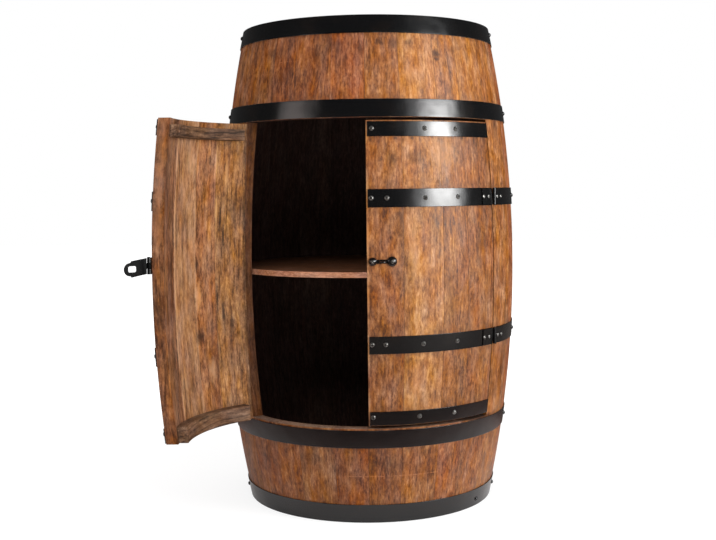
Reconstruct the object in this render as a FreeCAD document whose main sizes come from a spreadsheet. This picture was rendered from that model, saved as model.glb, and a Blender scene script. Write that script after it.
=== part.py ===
import FreeCAD, Part
import Sketcher
import math
import os

# Barrel bar cabinet: a stave barrel with two curved doors, a round shelf,
# six hoops, strap-and-butt hinges and a hasp with its staple.
# Frame: millimetres, +Z up, origin on the barrel axis at the floor.
# The doors meet at the front, on the -Y side. Azimuth is counted from the
# front, positive towards +X.

V = FreeCAD.Vector
doc = FreeCAD.newDocument("barrel_bar_cabinet")
sheet = doc.addObject("Spreadsheet::Sheet", "params")

CELLS = [
    # barrel shell
    ("total_height", 800.0), ("bilge_radius", 252.0), ("profile_radius", 1904.0),
    ("stave_thickness", 21.0), ("door_thickness", 18.0),
    # heads, croze, shelf
    ("head_thickness", 16.0), ("croze_width", 16.2), ("croze_radius", 201.4),
    ("head_radius", 201.2), ("head_bevel", 4.0),
    ("top_head_z", 752.0), ("bottom_head_z", 32.0),
    ("shelf_radius", 229.6), ("shelf_thickness", 9.0), ("shelf_z", 393.5),
    ("cleat_thickness", 18.0), ("cleat_height", 24.0), ("cleat_width", 13.0),
    # door opening and doors
    ("hinge_azimuth", 54.9), ("hinge_axis_radius", 252.8),
    ("seam_half_gap", 0.23), ("opening_bottom", 157.0), ("opening_top", 641.0),
    ("door_bottom", 162.0), ("door_top", 636.5), ("door_meeting_gap", 0.24),
    ("left_door_open", 88.7),
    # steel bands
    ("band_gap", 0.05), ("band_thickness", 1.5),
    ("top_hoop_low", 771.6), ("top_hoop_high", 800.0),
    ("upper_quarter_low", 641.5), ("upper_quarter_high", 669.2),
    ("upper_bilge_low", 503.0), ("upper_bilge_high", 531.0),
    ("lower_bilge_low", 276.6), ("lower_bilge_high", 304.0),
    ("lower_quarter_low", 125.5), ("lower_quarter_high", 154.5),
    ("bottom_hoop_high", 30.5),
    ("top_strap_low", 611.5), ("top_strap_high", 634.5),
    ("bottom_strap_low", 162.8), ("bottom_strap_high", 184.8),
    ("strap_edge_inset", 0.75), ("band_hinge_inset", 0.95),
    ("lap_angle", 14.0), ("lap_thickness", 1.5),
    # battens inside the doors
    ("batten_thickness", 15.0), ("top_batten_low", 609.5), ("top_batten_high", 627.0),
    ("bottom_batten_low", 163.5), ("bottom_batten_high", 187.5),
    ("batten_edge_inset", 0.6), ("batten_hinge_inset", 3.6),
    # butt hinges
    ("leaf_offset_in", 1.65), ("leaf_offset_out", 3.05), ("leaf_start", 0.86),
    ("leaf_angle", 6.3), ("leaf_height", 26.0),
    ("knuckle_radius", 2.9), ("pin_radius", 1.3), ("bore_radius", 1.35),
    ("knuckle_gap", 0.25), ("pin_head_radius", 2.3), ("pin_head_height", 1.2),
    ("upper_hinge_z", 517.0), ("lower_hinge_z", 290.3),
    # hasp and staple
    ("hasp_pin_offset", -0.5), ("hasp_axis_radius", 255.2), ("hasp_mid_z", 424.0),
    ("hasp_height", 24.0), ("hasp_plate_out", 1.65), ("hasp_plate_start", 0.86),
    ("hasp_plate_angle", 6.6), ("hasp_rest_angle", 53.3),
    ("hasp_knuckle_radius", 2.9),
    ("hasp_strap_length", 38.0), ("hasp_strap_thickness", 1.5),
    ("slot_near", 19.0), ("slot_far", 31.6), ("slot_height", 8.8),
    ("hasp_droop", 8.0),
    ("staple_z", 420.0), ("staple_arc", 24.1), ("staple_plate_thickness", 1.5),
    ("staple_wire_radius", 1.5), ("staple_bend_radius", 3.9), ("staple_leg", 11.0),
    # fasteners
    ("screw_head_radius", 3.6), ("screw_head_height", 2.3), ("shank_radius", 1.75),
    ("strap_screw_length", 15.0), ("batten_screw_length", 28.0),
    ("hinge_screw_head_radius", 3.1), ("hinge_screw_head_height", 1.0),
    ("hinge_screw_radius", 1.5), ("hinge_screw_length", 14.0),
    ("nail_head_radius", 3.6), ("nail_head_height", 2.8), ("nail_radius", 1.4),
    ("nail_length", 16.0),
    ("hole_clearance", 0.06),
    ("rivet_head_radius", 4.2), ("rivet_head_height", 2.2), ("rivet_radius", 2.0),
]
# widths of the staves of each door, from the meeting edge to the hinge, degrees
DOOR_STAVES = [13.4, 15.3, 11.2, 15.0]
# widths of the full staves, from the right hinge round the back, degrees
FULL_STAVES = [15.6, 18.9, 17.2, 20.1, 16.8, 19.2, 17.9, 18.6, 16.4, 19.8, 17.5, 18.8, 17.3, 16.1]
for i, w in enumerate(DOOR_STAVES):
    CELLS.append(("door_stave_width_%s" % "abcd"[i], w))
total = sum(FULL_STAVES)
span = 360.0 - 2 * 54.9 - 2 * 0.23
for i, w in enumerate(FULL_STAVES):
    CELLS.append(("full_stave_width_%s" % "abcdefghijklmn"[i], round(w * span / total, 4)))

for i, (name, value) in enumerate(CELLS):
    sheet.set("A%d" % (i + 1), name)
    sheet.set("B%d" % (i + 1), repr(float(value)))
    sheet.setAlias("B%d" % (i + 1), name)
doc.recompute()


def g(name):
    return float(sheet.get(name))


HALF = g("total_height") / 2
RHO = g("profile_radius")
CX = g("bilge_radius") - RHO
HINGE = g("hinge_azimuth")


def surf_r(z, off=0.0):
    """Radius of the barrel surface, moved outwards along its normal by off, at height z."""
    return CX + math.sqrt((RHO + off) ** 2 - (z - HALF) ** 2)


def plane_of(body, role):
    for f in body.Origin.OriginFeatures:
        if f.Role == role:
            return f


def named(sk, name, expr, *args):
    i = sk.addConstraint(Sketcher.Constraint(*args))
    sk.renameConstraint(i, name)
    sk.setExpression("Constraints." + name, expr)


def evaluate(expr):
    """Number that an expression over the sheet's cells gives."""
    names = sorted((c[0] for c in CELLS), key=len, reverse=True)
    total_value = 0.0
    # expressions here are sums and differences of cells and numbers
    sign = 1.0
    for token in expr.replace("-", " - ").replace("+", " + ").split():
        if token == "-":
            sign = -1.0
        elif token == "+":
            sign = 1.0
        else:
            token = token.replace("params.", "")
            total_value += sign * (g(token) if token in names else float(token))
            sign = 1.0
    return total_value


def shell_sketch(body, name, off_in, off_out, z_low, z_high):
    """Section of a layer that follows the barrel's curve: two concentric arcs and
    two level ends. Offsets are from the barrel's outer surface."""
    sk = body.newObject("Sketcher::SketchObject", name)
    sk.AttachmentSupport = [(plane_of(body, "XZ_Plane"), "")]
    sk.MapMode = "FlatFace"
    oi, oo = evaluate(off_in), evaluate(off_out)
    z0 = evaluate(z_low) if z_low else 0.0
    z1 = evaluate(z_high)
    ro, ri = RHO + oo, RHO + oi
    geo = []
    for r in (ro, ri):
        geo.append(sk.addGeometry(Part.ArcOfCircle(
            Part.Circle(V(CX, HALF, 0), V(0, 0, 1), r),
            math.asin((z0 - HALF) / r), math.asin((z1 - HALF) / r))))
    a, b = geo

    def on(r, z):
        return V(CX + math.sqrt(r * r - (z - HALF) ** 2), z, 0)
    low = sk.addGeometry(Part.LineSegment(on(ri, z0), on(ro, z0)))
    high = sk.addGeometry(Part.LineSegment(on(ri, z1), on(ro, z1)))
    K = Sketcher.Constraint
    named(sk, "centre_x", "params.profile_radius - params.bilge_radius", "DistanceX", a, 3, -1, 1, -CX)
    named(sk, "centre_z", "params.total_height / 2", "DistanceY", -1, 1, a, 3, HALF)
    sk.addConstraint(K("Coincident", a, 3, b, 3))
    named(sk, "outer_radius", "params.profile_radius + (" + off_out + ")", "Radius", a, ro)
    named(sk, "inner_radius", "params.profile_radius + (" + off_in + ")", "Radius", b, ri)
    if z_low:
        named(sk, "low", z_low, "DistanceY", -1, 1, a, 1, z0)
    else:
        sk.addConstraint(K("PointOnObject", a, 1, -1))
    named(sk, "high", z_high, "DistanceY", -1, 1, a, 2, z1)
    sk.addConstraint(K("Coincident", low, 1, b, 1))
    sk.addConstraint(K("Coincident", low, 2, a, 1))
    sk.addConstraint(K("Coincident", high, 1, b, 2))
    sk.addConstraint(K("Coincident", high, 2, a, 2))
    sk.addConstraint(K("Horizontal", low))
    sk.addConstraint(K("Horizontal", high))
    return sk


def revolve(body, sk, name, angle, kind="PartDesign::Revolution", reverse=False):
    f = body.newObject(kind, name)
    f.Profile = sk
    f.ReferenceAxis = (sk, ["V_Axis"])
    f.Reversed = reverse
    if isinstance(angle, str):
        f.Angle = 10.0
        f.setExpression("Angle", angle)
    else:
        f.Angle = angle
    sk.Visibility = False
    return f


def place(body, azimuth_expr, door=None):
    """Turn a body from its own frame (local azimuth 0 on +X) to its azimuth on the
    barrel; a left-door body is also turned about the hinge to the rest pose. The
    body's fastener holes are cut first. Returns the placed object."""
    if body.Name in drills_of:
        tools = doc.addObject("Part::Compound", body.Name + "_drills")
        tools.Links = drills_of[body.Name]
        cut = doc.addObject("Part::Cut", body.Name + "_drilled")
        cut.Base, cut.Tool = body, tools
        body.Visibility = tools.Visibility = False
        body = cut
    rot = "(" + azimuth_expr + ") - 90"
    body.Placement = FreeCAD.Placement(V(0, 0, 0), FreeCAD.Rotation(V(0, 0, 1), 1.0))
    if door == "left":
        rot += " - params.left_door_open"
        px = "(-params.hinge_axis_radius * sin(params.hinge_azimuth * 1deg))"
        py = "(-params.hinge_axis_radius * cos(params.hinge_azimuth * 1deg))"
        co, si = "cos(params.left_door_open * 1deg)", "sin(params.left_door_open * 1deg)"
        body.setExpression("Placement.Base.x", "1mm * (%s - (%s * %s + %s * %s))" % (px, px, co, py, si))
        body.setExpression("Placement.Base.y", "1mm * (%s - (%s * %s - %s * %s))" % (py, py, co, px, si))
    body.setExpression("Placement.Rotation.Angle", "(" + rot + ") * 1deg")
    return body


def radial_placement(local_azimuth, z, off, direction=1.0, back=0.0):
    """Placement whose +Z points out along the surface normal at this local azimuth
    and height, on the surface moved out by off; back moves it inwards."""
    al = math.asin((z - HALF) / (RHO + off))
    r = CX + (RHO + off - back) * math.cos(al)
    zz = HALF + (RHO + off - back) * math.sin(al)
    a = math.radians(local_azimuth)
    rot = FreeCAD.Rotation(V(0, 0, 1), local_azimuth) * FreeCAD.Rotation(V(0, 1, 0), 90 - math.degrees(al))
    return FreeCAD.Placement(V(r * math.cos(a), r * math.sin(a), zz), rot)


drills_of = {}      # body name -> the cylinders that cut its fastener holes


def drill(body, name, local_azimuth, z, radius_cell, out=6.0, depth=60.0, height=None):
    """Round hole along the surface normal, a little wider than the shank it takes."""
    f = doc.addObject("Part::Cylinder", name)
    f.Radius = g(radius_cell) + g("hole_clearance")
    f.setExpression("Radius", "params.%s + params.hole_clearance" % radius_cell)
    f.Height = height or depth + out
    f.Placement = radial_placement(local_azimuth, z, 0.0, back=depth)
    f.Visibility = False
    drills_of.setdefault(body.Name, []).append(f)
    return f


parts = []      # (label, object) of each sub-part


def part(label, obj):
    obj.Label = label
    parts.append((label, obj))
    return obj


def group(label, members):
    c = doc.addObject("Part::Compound", label + "_set")
    c.Links = members
    return part(label, c)


# ---------------------------------------------------------------- screw positions
# azimuth in degrees from the meeting line (towards the hinge), height
TOP_STRAP = [(2.4, 623.6), (22.5, 623.6), (36.0, 623.2)]
UPPER_HINGE_STRAP = [(1.95, 517.4), (7.5, 517.2), (21.7, 516.6), (35.2, 517.6)]
LOWER_HINGE_STRAP = [(1.75, 291.6), (6.6, 291.4), (20.5, 290.6), (34.5, 290.9)]
BOTTOM_STRAP = [(1.95, 176.2), (19.7, 175.4), (34.8, 175.2)]
LEAF_SCREWS = [3.2, 6.3]        # degrees from the hinge axis
NAIL_AZIMUTHS = [80.0, 143.0, -143.0, -80.0]
HOOP_MIDS = {"top_chime_hoop": 789.0, "upper_quarter_hoop": 656.0, "upper_bilge_hoop": 518.0,
             "lower_bilge_hoop": 291.0, "lower_quarter_hoop": 142.0, "bottom_chime_hoop": 19.0}
DOOR_DRILLS = TOP_STRAP + UPPER_HINGE_STRAP + LOWER_HINGE_STRAP + BOTTOM_STRAP
CLEATS = [-128.0, -72.0, 72.0, 128.0]

# fixing holes of the fixed staves: (azimuth, height, radius cell)
fixed_holes = []
for hoop_z in HOOP_MIDS.values():
    for az in NAIL_AZIMUTHS:
        fixed_holes.append((az, hoop_z, "nail_radius"))
fixed_holes.append((56.4, 12.0, "nail_radius"))
for side in (1, -1):
    for hz in ("upper_hinge_z", "lower_hinge_z"):
        for d in LEAF_SCREWS:
            fixed_holes.append((side * (HINGE + d), g(hz), "hinge_screw_radius"))

# ---------------------------------------------------------------- full staves
start = HINGE + g("seam_half_gap")
start_expr = "params.hinge_azimuth + params.seam_half_gap"
for i in range(len(FULL_STAVES)):
    letter = "abcdefghijklmn"[i]
    width = g("full_stave_width_" + letter)
    b = doc.addObject("PartDesign::Body", "stave_%02d" % (i + 1))
    sk = shell_sketch(b, "section_%02d" % (i + 1), "-params.stave_thickness", "0", None, "params.total_height")
    revolve(b, sk, "bent_stave_%02d" % (i + 1), "params.full_stave_width_" + letter)
    # croze grooves for the two heads
    for which in ("top_head_z", "bottom_head_z"):
        gs = b.newObject("Sketcher::SketchObject", "croze_%s_%02d" % (which[:3], i + 1))
        gs.AttachmentSupport = [(plane_of(b, "XZ_Plane"), "")]
        gs.MapMode = "FlatFace"
        z0 = g(which) - (g("croze_width") - g("head_thickness")) / 2
        x0, x1, z1 = 170.0, g("croze_radius"), z0 + g("croze_width")
        c = [V(x0, z0, 0), V(x1, z0, 0), V(x1, z1, 0), V(x0, z1, 0)]
        ids = [gs.addGeometry(Part.LineSegment(c[k], c[(k + 1) % 4])) for k in range(4)]
        for k in range(4):
            gs.addConstraint(Sketcher.Constraint("Coincident", ids[k], 2, ids[(k + 1) % 4], 1))
        gs.addConstraint(Sketcher.Constraint("Horizontal", ids[0]))
        gs.addConstraint(Sketcher.Constraint("Horizontal", ids[2]))
        gs.addConstraint(Sketcher.Constraint("Vertical", ids[1]))
        gs.addConstraint(Sketcher.Constraint("Vertical", ids[3]))
        gs.addConstraint(Sketcher.Constraint("DistanceX", -1, 1, ids[0], 1, x0))
        named(gs, "depth", "params.croze_radius", "DistanceX", -1, 1, ids[1], 1, x1)
        named(gs, "level", "params.%s - (params.croze_width - params.head_thickness) / 2" % which,
              "DistanceY", -1, 1, ids[0], 1, z0)
        named(gs, "width", "params.croze_width", "DistanceY", ids[1], 1, ids[1], 2, z1 - z0)
        revolve(b, gs, "croze_cut_%s_%02d" % (which[:3], i + 1), 360.0, "PartDesign::Groove")
    for n, (az, z, cell) in enumerate(fixed_holes):
        local = (az - start) % 360.0
        if local < width + 1.0 or local > 359.0:
            drill(b, "hole_%02d_%d" % (i + 1, n), local, z, cell)
    b = place(b, start_expr)
    part("stave_%02d" % (i + 1), b)
    start += width
    start_expr += " + params.full_stave_width_" + letter
doc.recompute()

# ---------------------------------------------------------------- short front staves
# edges of the front staves, counted from the meeting line
EDGES = [0.0]
for w in DOOR_STAVES:
    EDGES.append(EDGES[-1] + w)


def front_edges(n):
    """Start azimuth (expression, number) of the n-th front stave, from the left hinge."""
    order = ["d", "c", "b", "a", "a", "b", "c", "d"]
    e, v = "-params.hinge_azimuth", -HINGE
    for k in range(n):
        e += " + params.door_stave_width_" + order[k]
        v += g("door_stave_width_" + order[k])
    return e, v, "params.door_stave_width_" + order[n]


for level in ("upper", "lower"):
    members = []
    for n in range(8):
        e, v, width_expr = front_edges(n)
        width = evaluate(width_expr)
        if n == 0:
            e += " - params.seam_half_gap"
            v -= g("seam_half_gap")
            width_expr += " + params.seam_half_gap"
            width += g("seam_half_gap")
        if n == 7:
            width_expr += " + params.seam_half_gap"
            width += g("seam_half_gap")
        b = doc.addObject("PartDesign::Body", "%s_front_stave_%d" % (level, n + 1))
        tag = "%s_%d" % (level, n + 1)
        if level == "upper":
            sk = shell_sketch(b, "section_" + tag, "-params.stave_thickness", "0", "params.opening_top", "params.total_height")
        else:
            sk = shell_sketch(b, "section_" + tag, "-params.stave_thickness", "0", None, "params.opening_bottom")
        revolve(b, sk, "short_stave_" + tag, width_expr)
        which = "top_head_z" if level == "upper" else "bottom_head_z"
        gs = b.newObject("Sketcher::SketchObject", "croze_" + tag)
        gs.AttachmentSupport = [(plane_of(b, "XZ_Plane"), "")]
        gs.MapMode = "FlatFace"
        z0 = g(which) - (g("croze_width") - g("head_thickness")) / 2
        x0, x1, z1 = 170.0, g("croze_radius"), z0 + g("croze_width")
        c = [V(x0, z0, 0), V(x1, z0, 0), V(x1, z1, 0), V(x0, z1, 0)]
        ids = [gs.addGeometry(Part.LineSegment(c[k], c[(k + 1) % 4])) for k in range(4)]
        for k in range(4):
            gs.addConstraint(Sketcher.Constraint("Coincident", ids[k], 2, ids[(k + 1) % 4], 1))
        gs.addConstraint(Sketcher.Constraint("Horizontal", ids[0]))
        gs.addConstraint(Sketcher.Constraint("Horizontal", ids[2]))
        gs.addConstraint(Sketcher.Constraint("Vertical", ids[1]))
        gs.addConstraint(Sketcher.Constraint("Vertical", ids[3]))
        gs.addConstraint(Sketcher.Constraint("DistanceX", -1, 1, ids[0], 1, x0))
        named(gs, "depth", "params.croze_radius", "DistanceX", -1, 1, ids[1], 1, x1)
        named(gs, "level", "params.%s - (params.croze_width - params.head_thickness) / 2" % which,
              "DistanceY", -1, 1, ids[0], 1, z0)
        named(gs, "width", "params.croze_width", "DistanceY", ids[1], 1, ids[1], 2, z1 - z0)
        revolve(b, gs, "croze_cut_" + tag, 360.0, "PartDesign::Groove")
        for m, (az, z, cell) in enumerate(fixed_holes):
            local = (az - v) % 360.0
            if (local < width + 1.0 or local > 359.0) and (z < g("opening_bottom")) == (level == "lower") \
                    and not g("opening_bottom") < z < g("opening_top"):
                drill(b, "hole_%s_%d" % (tag, m), local, z, cell)
        b = place(b, e)
        members.append(b)
    group(level + "_front_staves", members)
doc.recompute()

# ---------------------------------------------------------------- heads
BOARD_EDGES = {"top_head": [-240.0, -128.0, -47.0, 39.0, 118.0, 240.0],
               "bottom_head": [-240.0, -112.0, -38.0, 51.0, 131.0, 240.0]}
for label, zcell in (("top_head", "top_head_z"), ("bottom_head", "bottom_head_z")):
    disc = doc.addObject("PartDesign::Body", label + "_disc")
    sk = disc.newObject("Sketcher::SketchObject", label + "_section")
    sk.AttachmentSupport = [(plane_of(disc, "XZ_Plane"), "")]
    sk.MapMode = "FlatFace"
    z0, hr, ht, bv = g(zcell), g("head_radius"), g("head_thickness"), g("head_bevel")
    pts = [V(0, z0, 0), V(hr - bv, z0, 0), V(hr, z0 + bv, 0), V(hr, z0 + ht, 0), V(0, z0 + ht, 0)]
    if label == "bottom_head":
        pts = [V(0, z0, 0), V(hr, z0, 0), V(hr, z0 + ht - bv, 0), V(hr - bv, z0 + ht, 0), V(0, z0 + ht, 0)]
    ids = [sk.addGeometry(Part.LineSegment(pts[k], pts[(k + 1) % 5])) for k in range(5)]
    for k in range(5):
        sk.addConstraint(Sketcher.Constraint("Coincident", ids[k], 2, ids[(k + 1) % 5], 1))
    sk.addConstraint(Sketcher.Constraint("PointOnObject", ids[0], 1, -2))
    sk.addConstraint(Sketcher.Constraint("Vertical", ids[4]))
    sk.addConstraint(Sketcher.Constraint("Horizontal", ids[0]))
    sk.addConstraint(Sketcher.Constraint("Horizontal", ids[3]))
    named(sk, "level", "params." + zcell, "DistanceY", -1, 1, ids[0], 1, z0)
    named(sk, "thickness", "params.head_thickness", "DistanceY", ids[4], 2, ids[4], 1, ht)
    if label == "top_head":
        sk.addConstraint(Sketcher.Constraint("Vertical", ids[2]))
        named(sk, "radius", "params.head_radius", "DistanceX", -1, 1, ids[2], 1, hr)
        named(sk, "bevel_x", "params.head_bevel", "DistanceX", ids[1], 1, ids[1], 2, bv)
        named(sk, "bevel_z", "params.head_bevel", "DistanceY", ids[1], 1, ids[1], 2, bv)
    else:
        sk.addConstraint(Sketcher.Constraint("Vertical", ids[1]))
        named(sk, "radius", "params.head_radius", "DistanceX", -1, 1, ids[1], 1, hr)
        named(sk, "bevel_x", "params.head_bevel", "DistanceX", ids[2], 2, ids[2], 1, bv)
        named(sk, "bevel_z", "params.head_bevel", "DistanceY", ids[2], 1, ids[2], 2, bv)
    revolve(disc, sk, label + "_turned", 360.0)
    disc.Placement = FreeCAD.Placement(V(0, 0, 0), FreeCAD.Rotation(V(0, 0, 1), 0))
    doc.recompute()
    members = []
    be = BOARD_EDGES[label]
    for k in range(5):
        box = doc.addObject("Part::Box", "%s_cutter_%d" % (label, k + 1))
        box.Length, box.Width = be[k + 1] - be[k] - 0.1, 500.0
        box.Height = 60.0
        box.setExpression("Height", "params.head_thickness * 3mm")
        box.Placement = FreeCAD.Placement(V(be[k] + 0.05, -250.0, g(zcell) - 16.0), FreeCAD.Rotation())
        com = doc.addObject("Part::Common", "%s_board_%d" % (label, k + 1))
        com.Base, com.Tool = disc, box
        members.append(com)
    # the boards of the bottom head run from side to side, those of the top head front to back
    grp = group(label, members)
    if label == "bottom_head":
        grp.Placement = FreeCAD.Placement(V(0, 0, 0), FreeCAD.Rotation(V(0, 0, 1), 90))
doc.recompute()

# ---------------------------------------------------------------- shelf and cleats
b = doc.addObject("PartDesign::Body", "shelf_body")
sk = b.newObject("Sketcher::SketchObject", "shelf_outline")
sk.AttachmentSupport = [(plane_of(b, "XY_Plane"), "")]
sk.MapMode = "FlatFace"
cgeo = sk.addGeometry(Part.Circle(V(0, 0, 0), V(0, 0, 1), g("shelf_radius")))
sk.addConstraint(Sketcher.Constraint("Coincident", cgeo, 3, -1, 1))
named(sk, "radius", "params.shelf_radius", "Radius", cgeo, g("shelf_radius"))
pad = b.newObject("PartDesign::Pad", "shelf_board")
pad.Profile = sk
pad.Length = g("shelf_thickness")
pad.setExpression("Length", "params.shelf_thickness")
b.Placement = FreeCAD.Placement(V(0, 0, g("shelf_z")), FreeCAD.Rotation())
b.setExpression("Placement.Base.z", "params.shelf_z * 1mm")
part("shelf", b)

members = []
for n, az in enumerate(CLEATS):
    b = doc.addObject("PartDesign::Body", "shelf_cleat_%d" % (n + 1))
    sk = shell_sketch(b, "cleat_section_%d" % (n + 1),
                      "-params.stave_thickness - 0.02 - params.cleat_thickness",
                      "-params.stave_thickness - 0.02",
                      "params.shelf_z - params.cleat_height - 0.02", "params.shelf_z - 0.02")
    revolve(b, sk, "cleat_block_%d" % (n + 1), "params.cleat_width")
    place(b, "%r - params.cleat_width / 2" % az)
    members.append(b)
group("shelf_cleats", members)

# ---------------------------------------------------------------- hoops
HOOPS = [("top_chime_hoop", "params.top_hoop_low", "params.top_hoop_high", True),
         ("upper_quarter_hoop", "params.upper_quarter_low", "params.upper_quarter_high", True),
         ("upper_bilge_hoop", "params.upper_bilge_low", "params.upper_bilge_high", False),
         ("lower_bilge_hoop", "params.lower_bilge_low", "params.lower_bilge_high", False),
         ("lower_quarter_hoop", "params.lower_quarter_low", "params.lower_quarter_high", True),
         ("bottom_chime_hoop", None, "params.bottom_hoop_high", True)]
RIVET_LOCAL = [2.6, 11.4]
rivet_spots = []
for label, lo, hi, closed in HOOPS:
    b = doc.addObject("PartDesign::Body", label + "_body")
    sk = shell_sketch(b, label + "_section", "params.band_gap", "params.band_gap + params.band_thickness", lo, hi)
    lap0 = 180.0 - g("lap_angle") / 2          # azimuth where the lap starts
    if closed:
        # local azimuth 0 is the start of the lap
        revolve(b, sk, label + "_band", 360.0)
        origin = lap0
        origin_expr = "180 - params.lap_angle / 2"
    else:
        # cut at the doors: the band starts past the right hinge
        revolve(b, sk, label + "_band", "360 - 2 * params.hinge_azimuth - 2 * params.band_hinge_inset")
        origin = HINGE + g("band_hinge_inset")
        origin_expr = "params.hinge_azimuth + params.band_hinge_inset"
    doc.recompute()
    if closed:
        sk2 = shell_sketch(b, label + "_lap_section", "params.band_gap + params.band_thickness",
                           "params.band_gap + params.band_thickness + params.lap_thickness", lo, hi)
        revolve(b, sk2, label + "_lap", "params.lap_angle")
        rivets = RIVET_LOCAL
        rivet_base = lap0
        for k in rivets:
            rivet_spots.append((lap0 + k, HOOP_MIDS[label], g("band_gap") + g("band_thickness") + g("lap_thickness")))
            drill(b, "%s_rivet_hole_%d" % (label, int(k)), k, HOOP_MIDS[label], "rivet_radius", depth=10.0)
    doc.recompute()
    for az in NAIL_AZIMUTHS:
        drill(b, "%s_nail_hole_%d" % (label, int(az) % 360), (az - origin) % 360.0, HOOP_MIDS[label], "nail_radius", depth=10.0)
    if label == "bottom_chime_hoop":
        drill(b, label + "_nail_hole_front", (56.4 - origin) % 360.0, 12.0, "nail_radius", depth=10.0)
    if not closed:
        hz = "upper_hinge_z" if label.startswith("upper") else "lower_hinge_z"
        for side in (1, -1):
            for d in LEAF_SCREWS:
                az = side * (HINGE + d)
                drill(b, "%s_leaf_hole_%s_%d" % (label, "r" if side > 0 else "l", int(d)),
                      (az - origin) % 360.0, g(hz), "hinge_screw_radius", depth=10.0)
    b = place(b, origin_expr)
    part(label, b)
doc.recompute()

# ---------------------------------------------------------------- fastener models
def turned(name, head_r, head_h, shank_r, length):
    """Dome-head fastener, head seat at z = 0, head up, shank down. A cap over a
    shank, turned about the Z axis; sizes are cells of the sheet."""
    b = doc.addObject("PartDesign::Body", name)
    sk = b.newObject("Sketcher::SketchObject", name + "_section")
    sk.AttachmentSupport = [(plane_of(b, "XZ_Plane"), "")]
    sk.MapMode = "FlatFace"
    hr, hh, sr, ln = g(head_r), g(head_h), g(shank_r), g(length)
    # cap: arc from the rim to the crown, centre on the axis
    R = (hr * hr + hh * hh) / (2 * hh)
    zc = hh - R
    a0 = math.atan2(-zc, hr)
    arc = sk.addGeometry(Part.ArcOfCircle(Part.Circle(V(0, zc, 0), V(0, 0, 1), R), a0, math.pi / 2))
    p = [V(0, hh, 0), V(0, -ln, 0), V(sr, -ln, 0), V(sr, 0, 0), V(hr, 0, 0)]
    ids = [sk.addGeometry(Part.LineSegment(p[k], p[k + 1])) for k in range(4)]
    K = Sketcher.Constraint
    sk.addConstraint(K("Coincident", arc, 2, ids[0], 1))
    for k in range(3):
        sk.addConstraint(K("Coincident", ids[k], 2, ids[k + 1], 1))
    sk.addConstraint(K("Coincident", ids[3], 2, arc, 1))
    sk.addConstraint(K("PointOnObject", arc, 3, -2))
    sk.addConstraint(K("PointOnObject", ids[0], 1, -2))
    sk.addConstraint(K("PointOnObject", ids[0], 2, -2))
    sk.addConstraint(K("Horizontal", ids[1]))
    sk.addConstraint(K("Vertical", ids[2]))
    sk.addConstraint(K("PointOnObject", ids[3], 1, -1))
    sk.addConstraint(K("PointOnObject", ids[3], 2, -1))
    named(sk, "head_height", "params." + head_h, "DistanceY", -1, 1, ids[0], 1, hh)
    named(sk, "head_radius", "params." + head_r, "DistanceX", -1, 1, ids[3], 2, hr)
    named(sk, "shank_radius", "params." + shank_r, "DistanceX", -1, 1, ids[2], 2, sr)
    named(sk, "length", "params." + length, "DistanceY", ids[0], 2, -1, 1, ln)
    revolve(b, sk, name + "_turned", 360.0)
    b.Visibility = False
    return b


strap_screw = turned("strap_screw", "screw_head_radius", "screw_head_height", "shank_radius", "strap_screw_length")
batten_screw = turned("batten_screw", "screw_head_radius", "screw_head_height", "shank_radius", "batten_screw_length")
hoop_nail = turned("hoop_nail", "nail_head_radius", "nail_head_height", "nail_radius", "nail_length")
sheet_rows = len(CELLS)
sheet.set("A%d" % (sheet_rows + 1), "rivet_length")
sheet.set("B%d" % (sheet_rows + 1), "3.0")
sheet.setAlias("B%d" % (sheet_rows + 1), "rivet_length")
sheet.set("A%d" % (sheet_rows + 2), "slot_width")
sheet.set("B%d" % (sheet_rows + 2), "0.9")
sheet.setAlias("B%d" % (sheet_rows + 2), "slot_width")
sheet.set("A%d" % (sheet_rows + 3), "slot_depth")
sheet.set("B%d" % (sheet_rows + 3), "0.5")
sheet.setAlias("B%d" % (sheet_rows + 3), "slot_depth")
doc.recompute()
hoop_rivet = turned("hoop_rivet", "rivet_head_radius", "rivet_head_height", "rivet_radius", "rivet_length")
hinge_screw = turned("hinge_screw", "hinge_screw_head_radius", "hinge_screw_head_height", "hinge_screw_radius", "hinge_screw_length")
doc.recompute()
# driver slot across the hinge screw's head
slot_sk = hinge_screw.newObject("Sketcher::SketchObject", "driver_slot_section")
slot_sk.AttachmentSupport = [(plane_of(hinge_screw, "XZ_Plane"), "")]
slot_sk.MapMode = "FlatFace"
sw, sd, hh = g("slot_width"), g("slot_depth"), g("hinge_screw_head_height")
q = [V(-sw / 2, hh - sd, 0), V(sw / 2, hh - sd, 0), V(sw / 2, hh + 1, 0), V(-sw / 2, hh + 1, 0)]
ids = [slot_sk.addGeometry(Part.LineSegment(q[k], q[(k + 1) % 4])) for k in range(4)]
for k in range(4):
    slot_sk.addConstraint(Sketcher.Constraint("Coincident", ids[k], 2, ids[(k + 1) % 4], 1))
slot_sk.addConstraint(Sketcher.Constraint("Horizontal", ids[0]))
slot_sk.addConstraint(Sketcher.Constraint("Horizontal", ids[2]))
slot_sk.addConstraint(Sketcher.Constraint("Vertical", ids[1]))
slot_sk.addConstraint(Sketcher.Constraint("Vertical", ids[3]))
named(slot_sk, "width", "params.slot_width", "DistanceX", ids[0], 1, ids[0], 2, sw)
named(slot_sk, "half", "params.slot_width / 2", "DistanceX", -1, 1, ids[0], 2, sw / 2)
named(slot_sk, "floor", "params.hinge_screw_head_height - params.slot_depth", "DistanceY", -1, 1, ids[0], 1, hh - sd)
slot_sk.addConstraint(Sketcher.Constraint("DistanceY", ids[1], 1, ids[1], 2, sd + 1))
slot = hinge_screw.newObject("PartDesign::Pocket", "driver_slot")
slot.Profile = slot_sk
slot.Type = 1
slot.Midplane = True
doc.recompute()
turned_volume = doc.getObject("hinge_screw_turned").Shape.Volume
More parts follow.
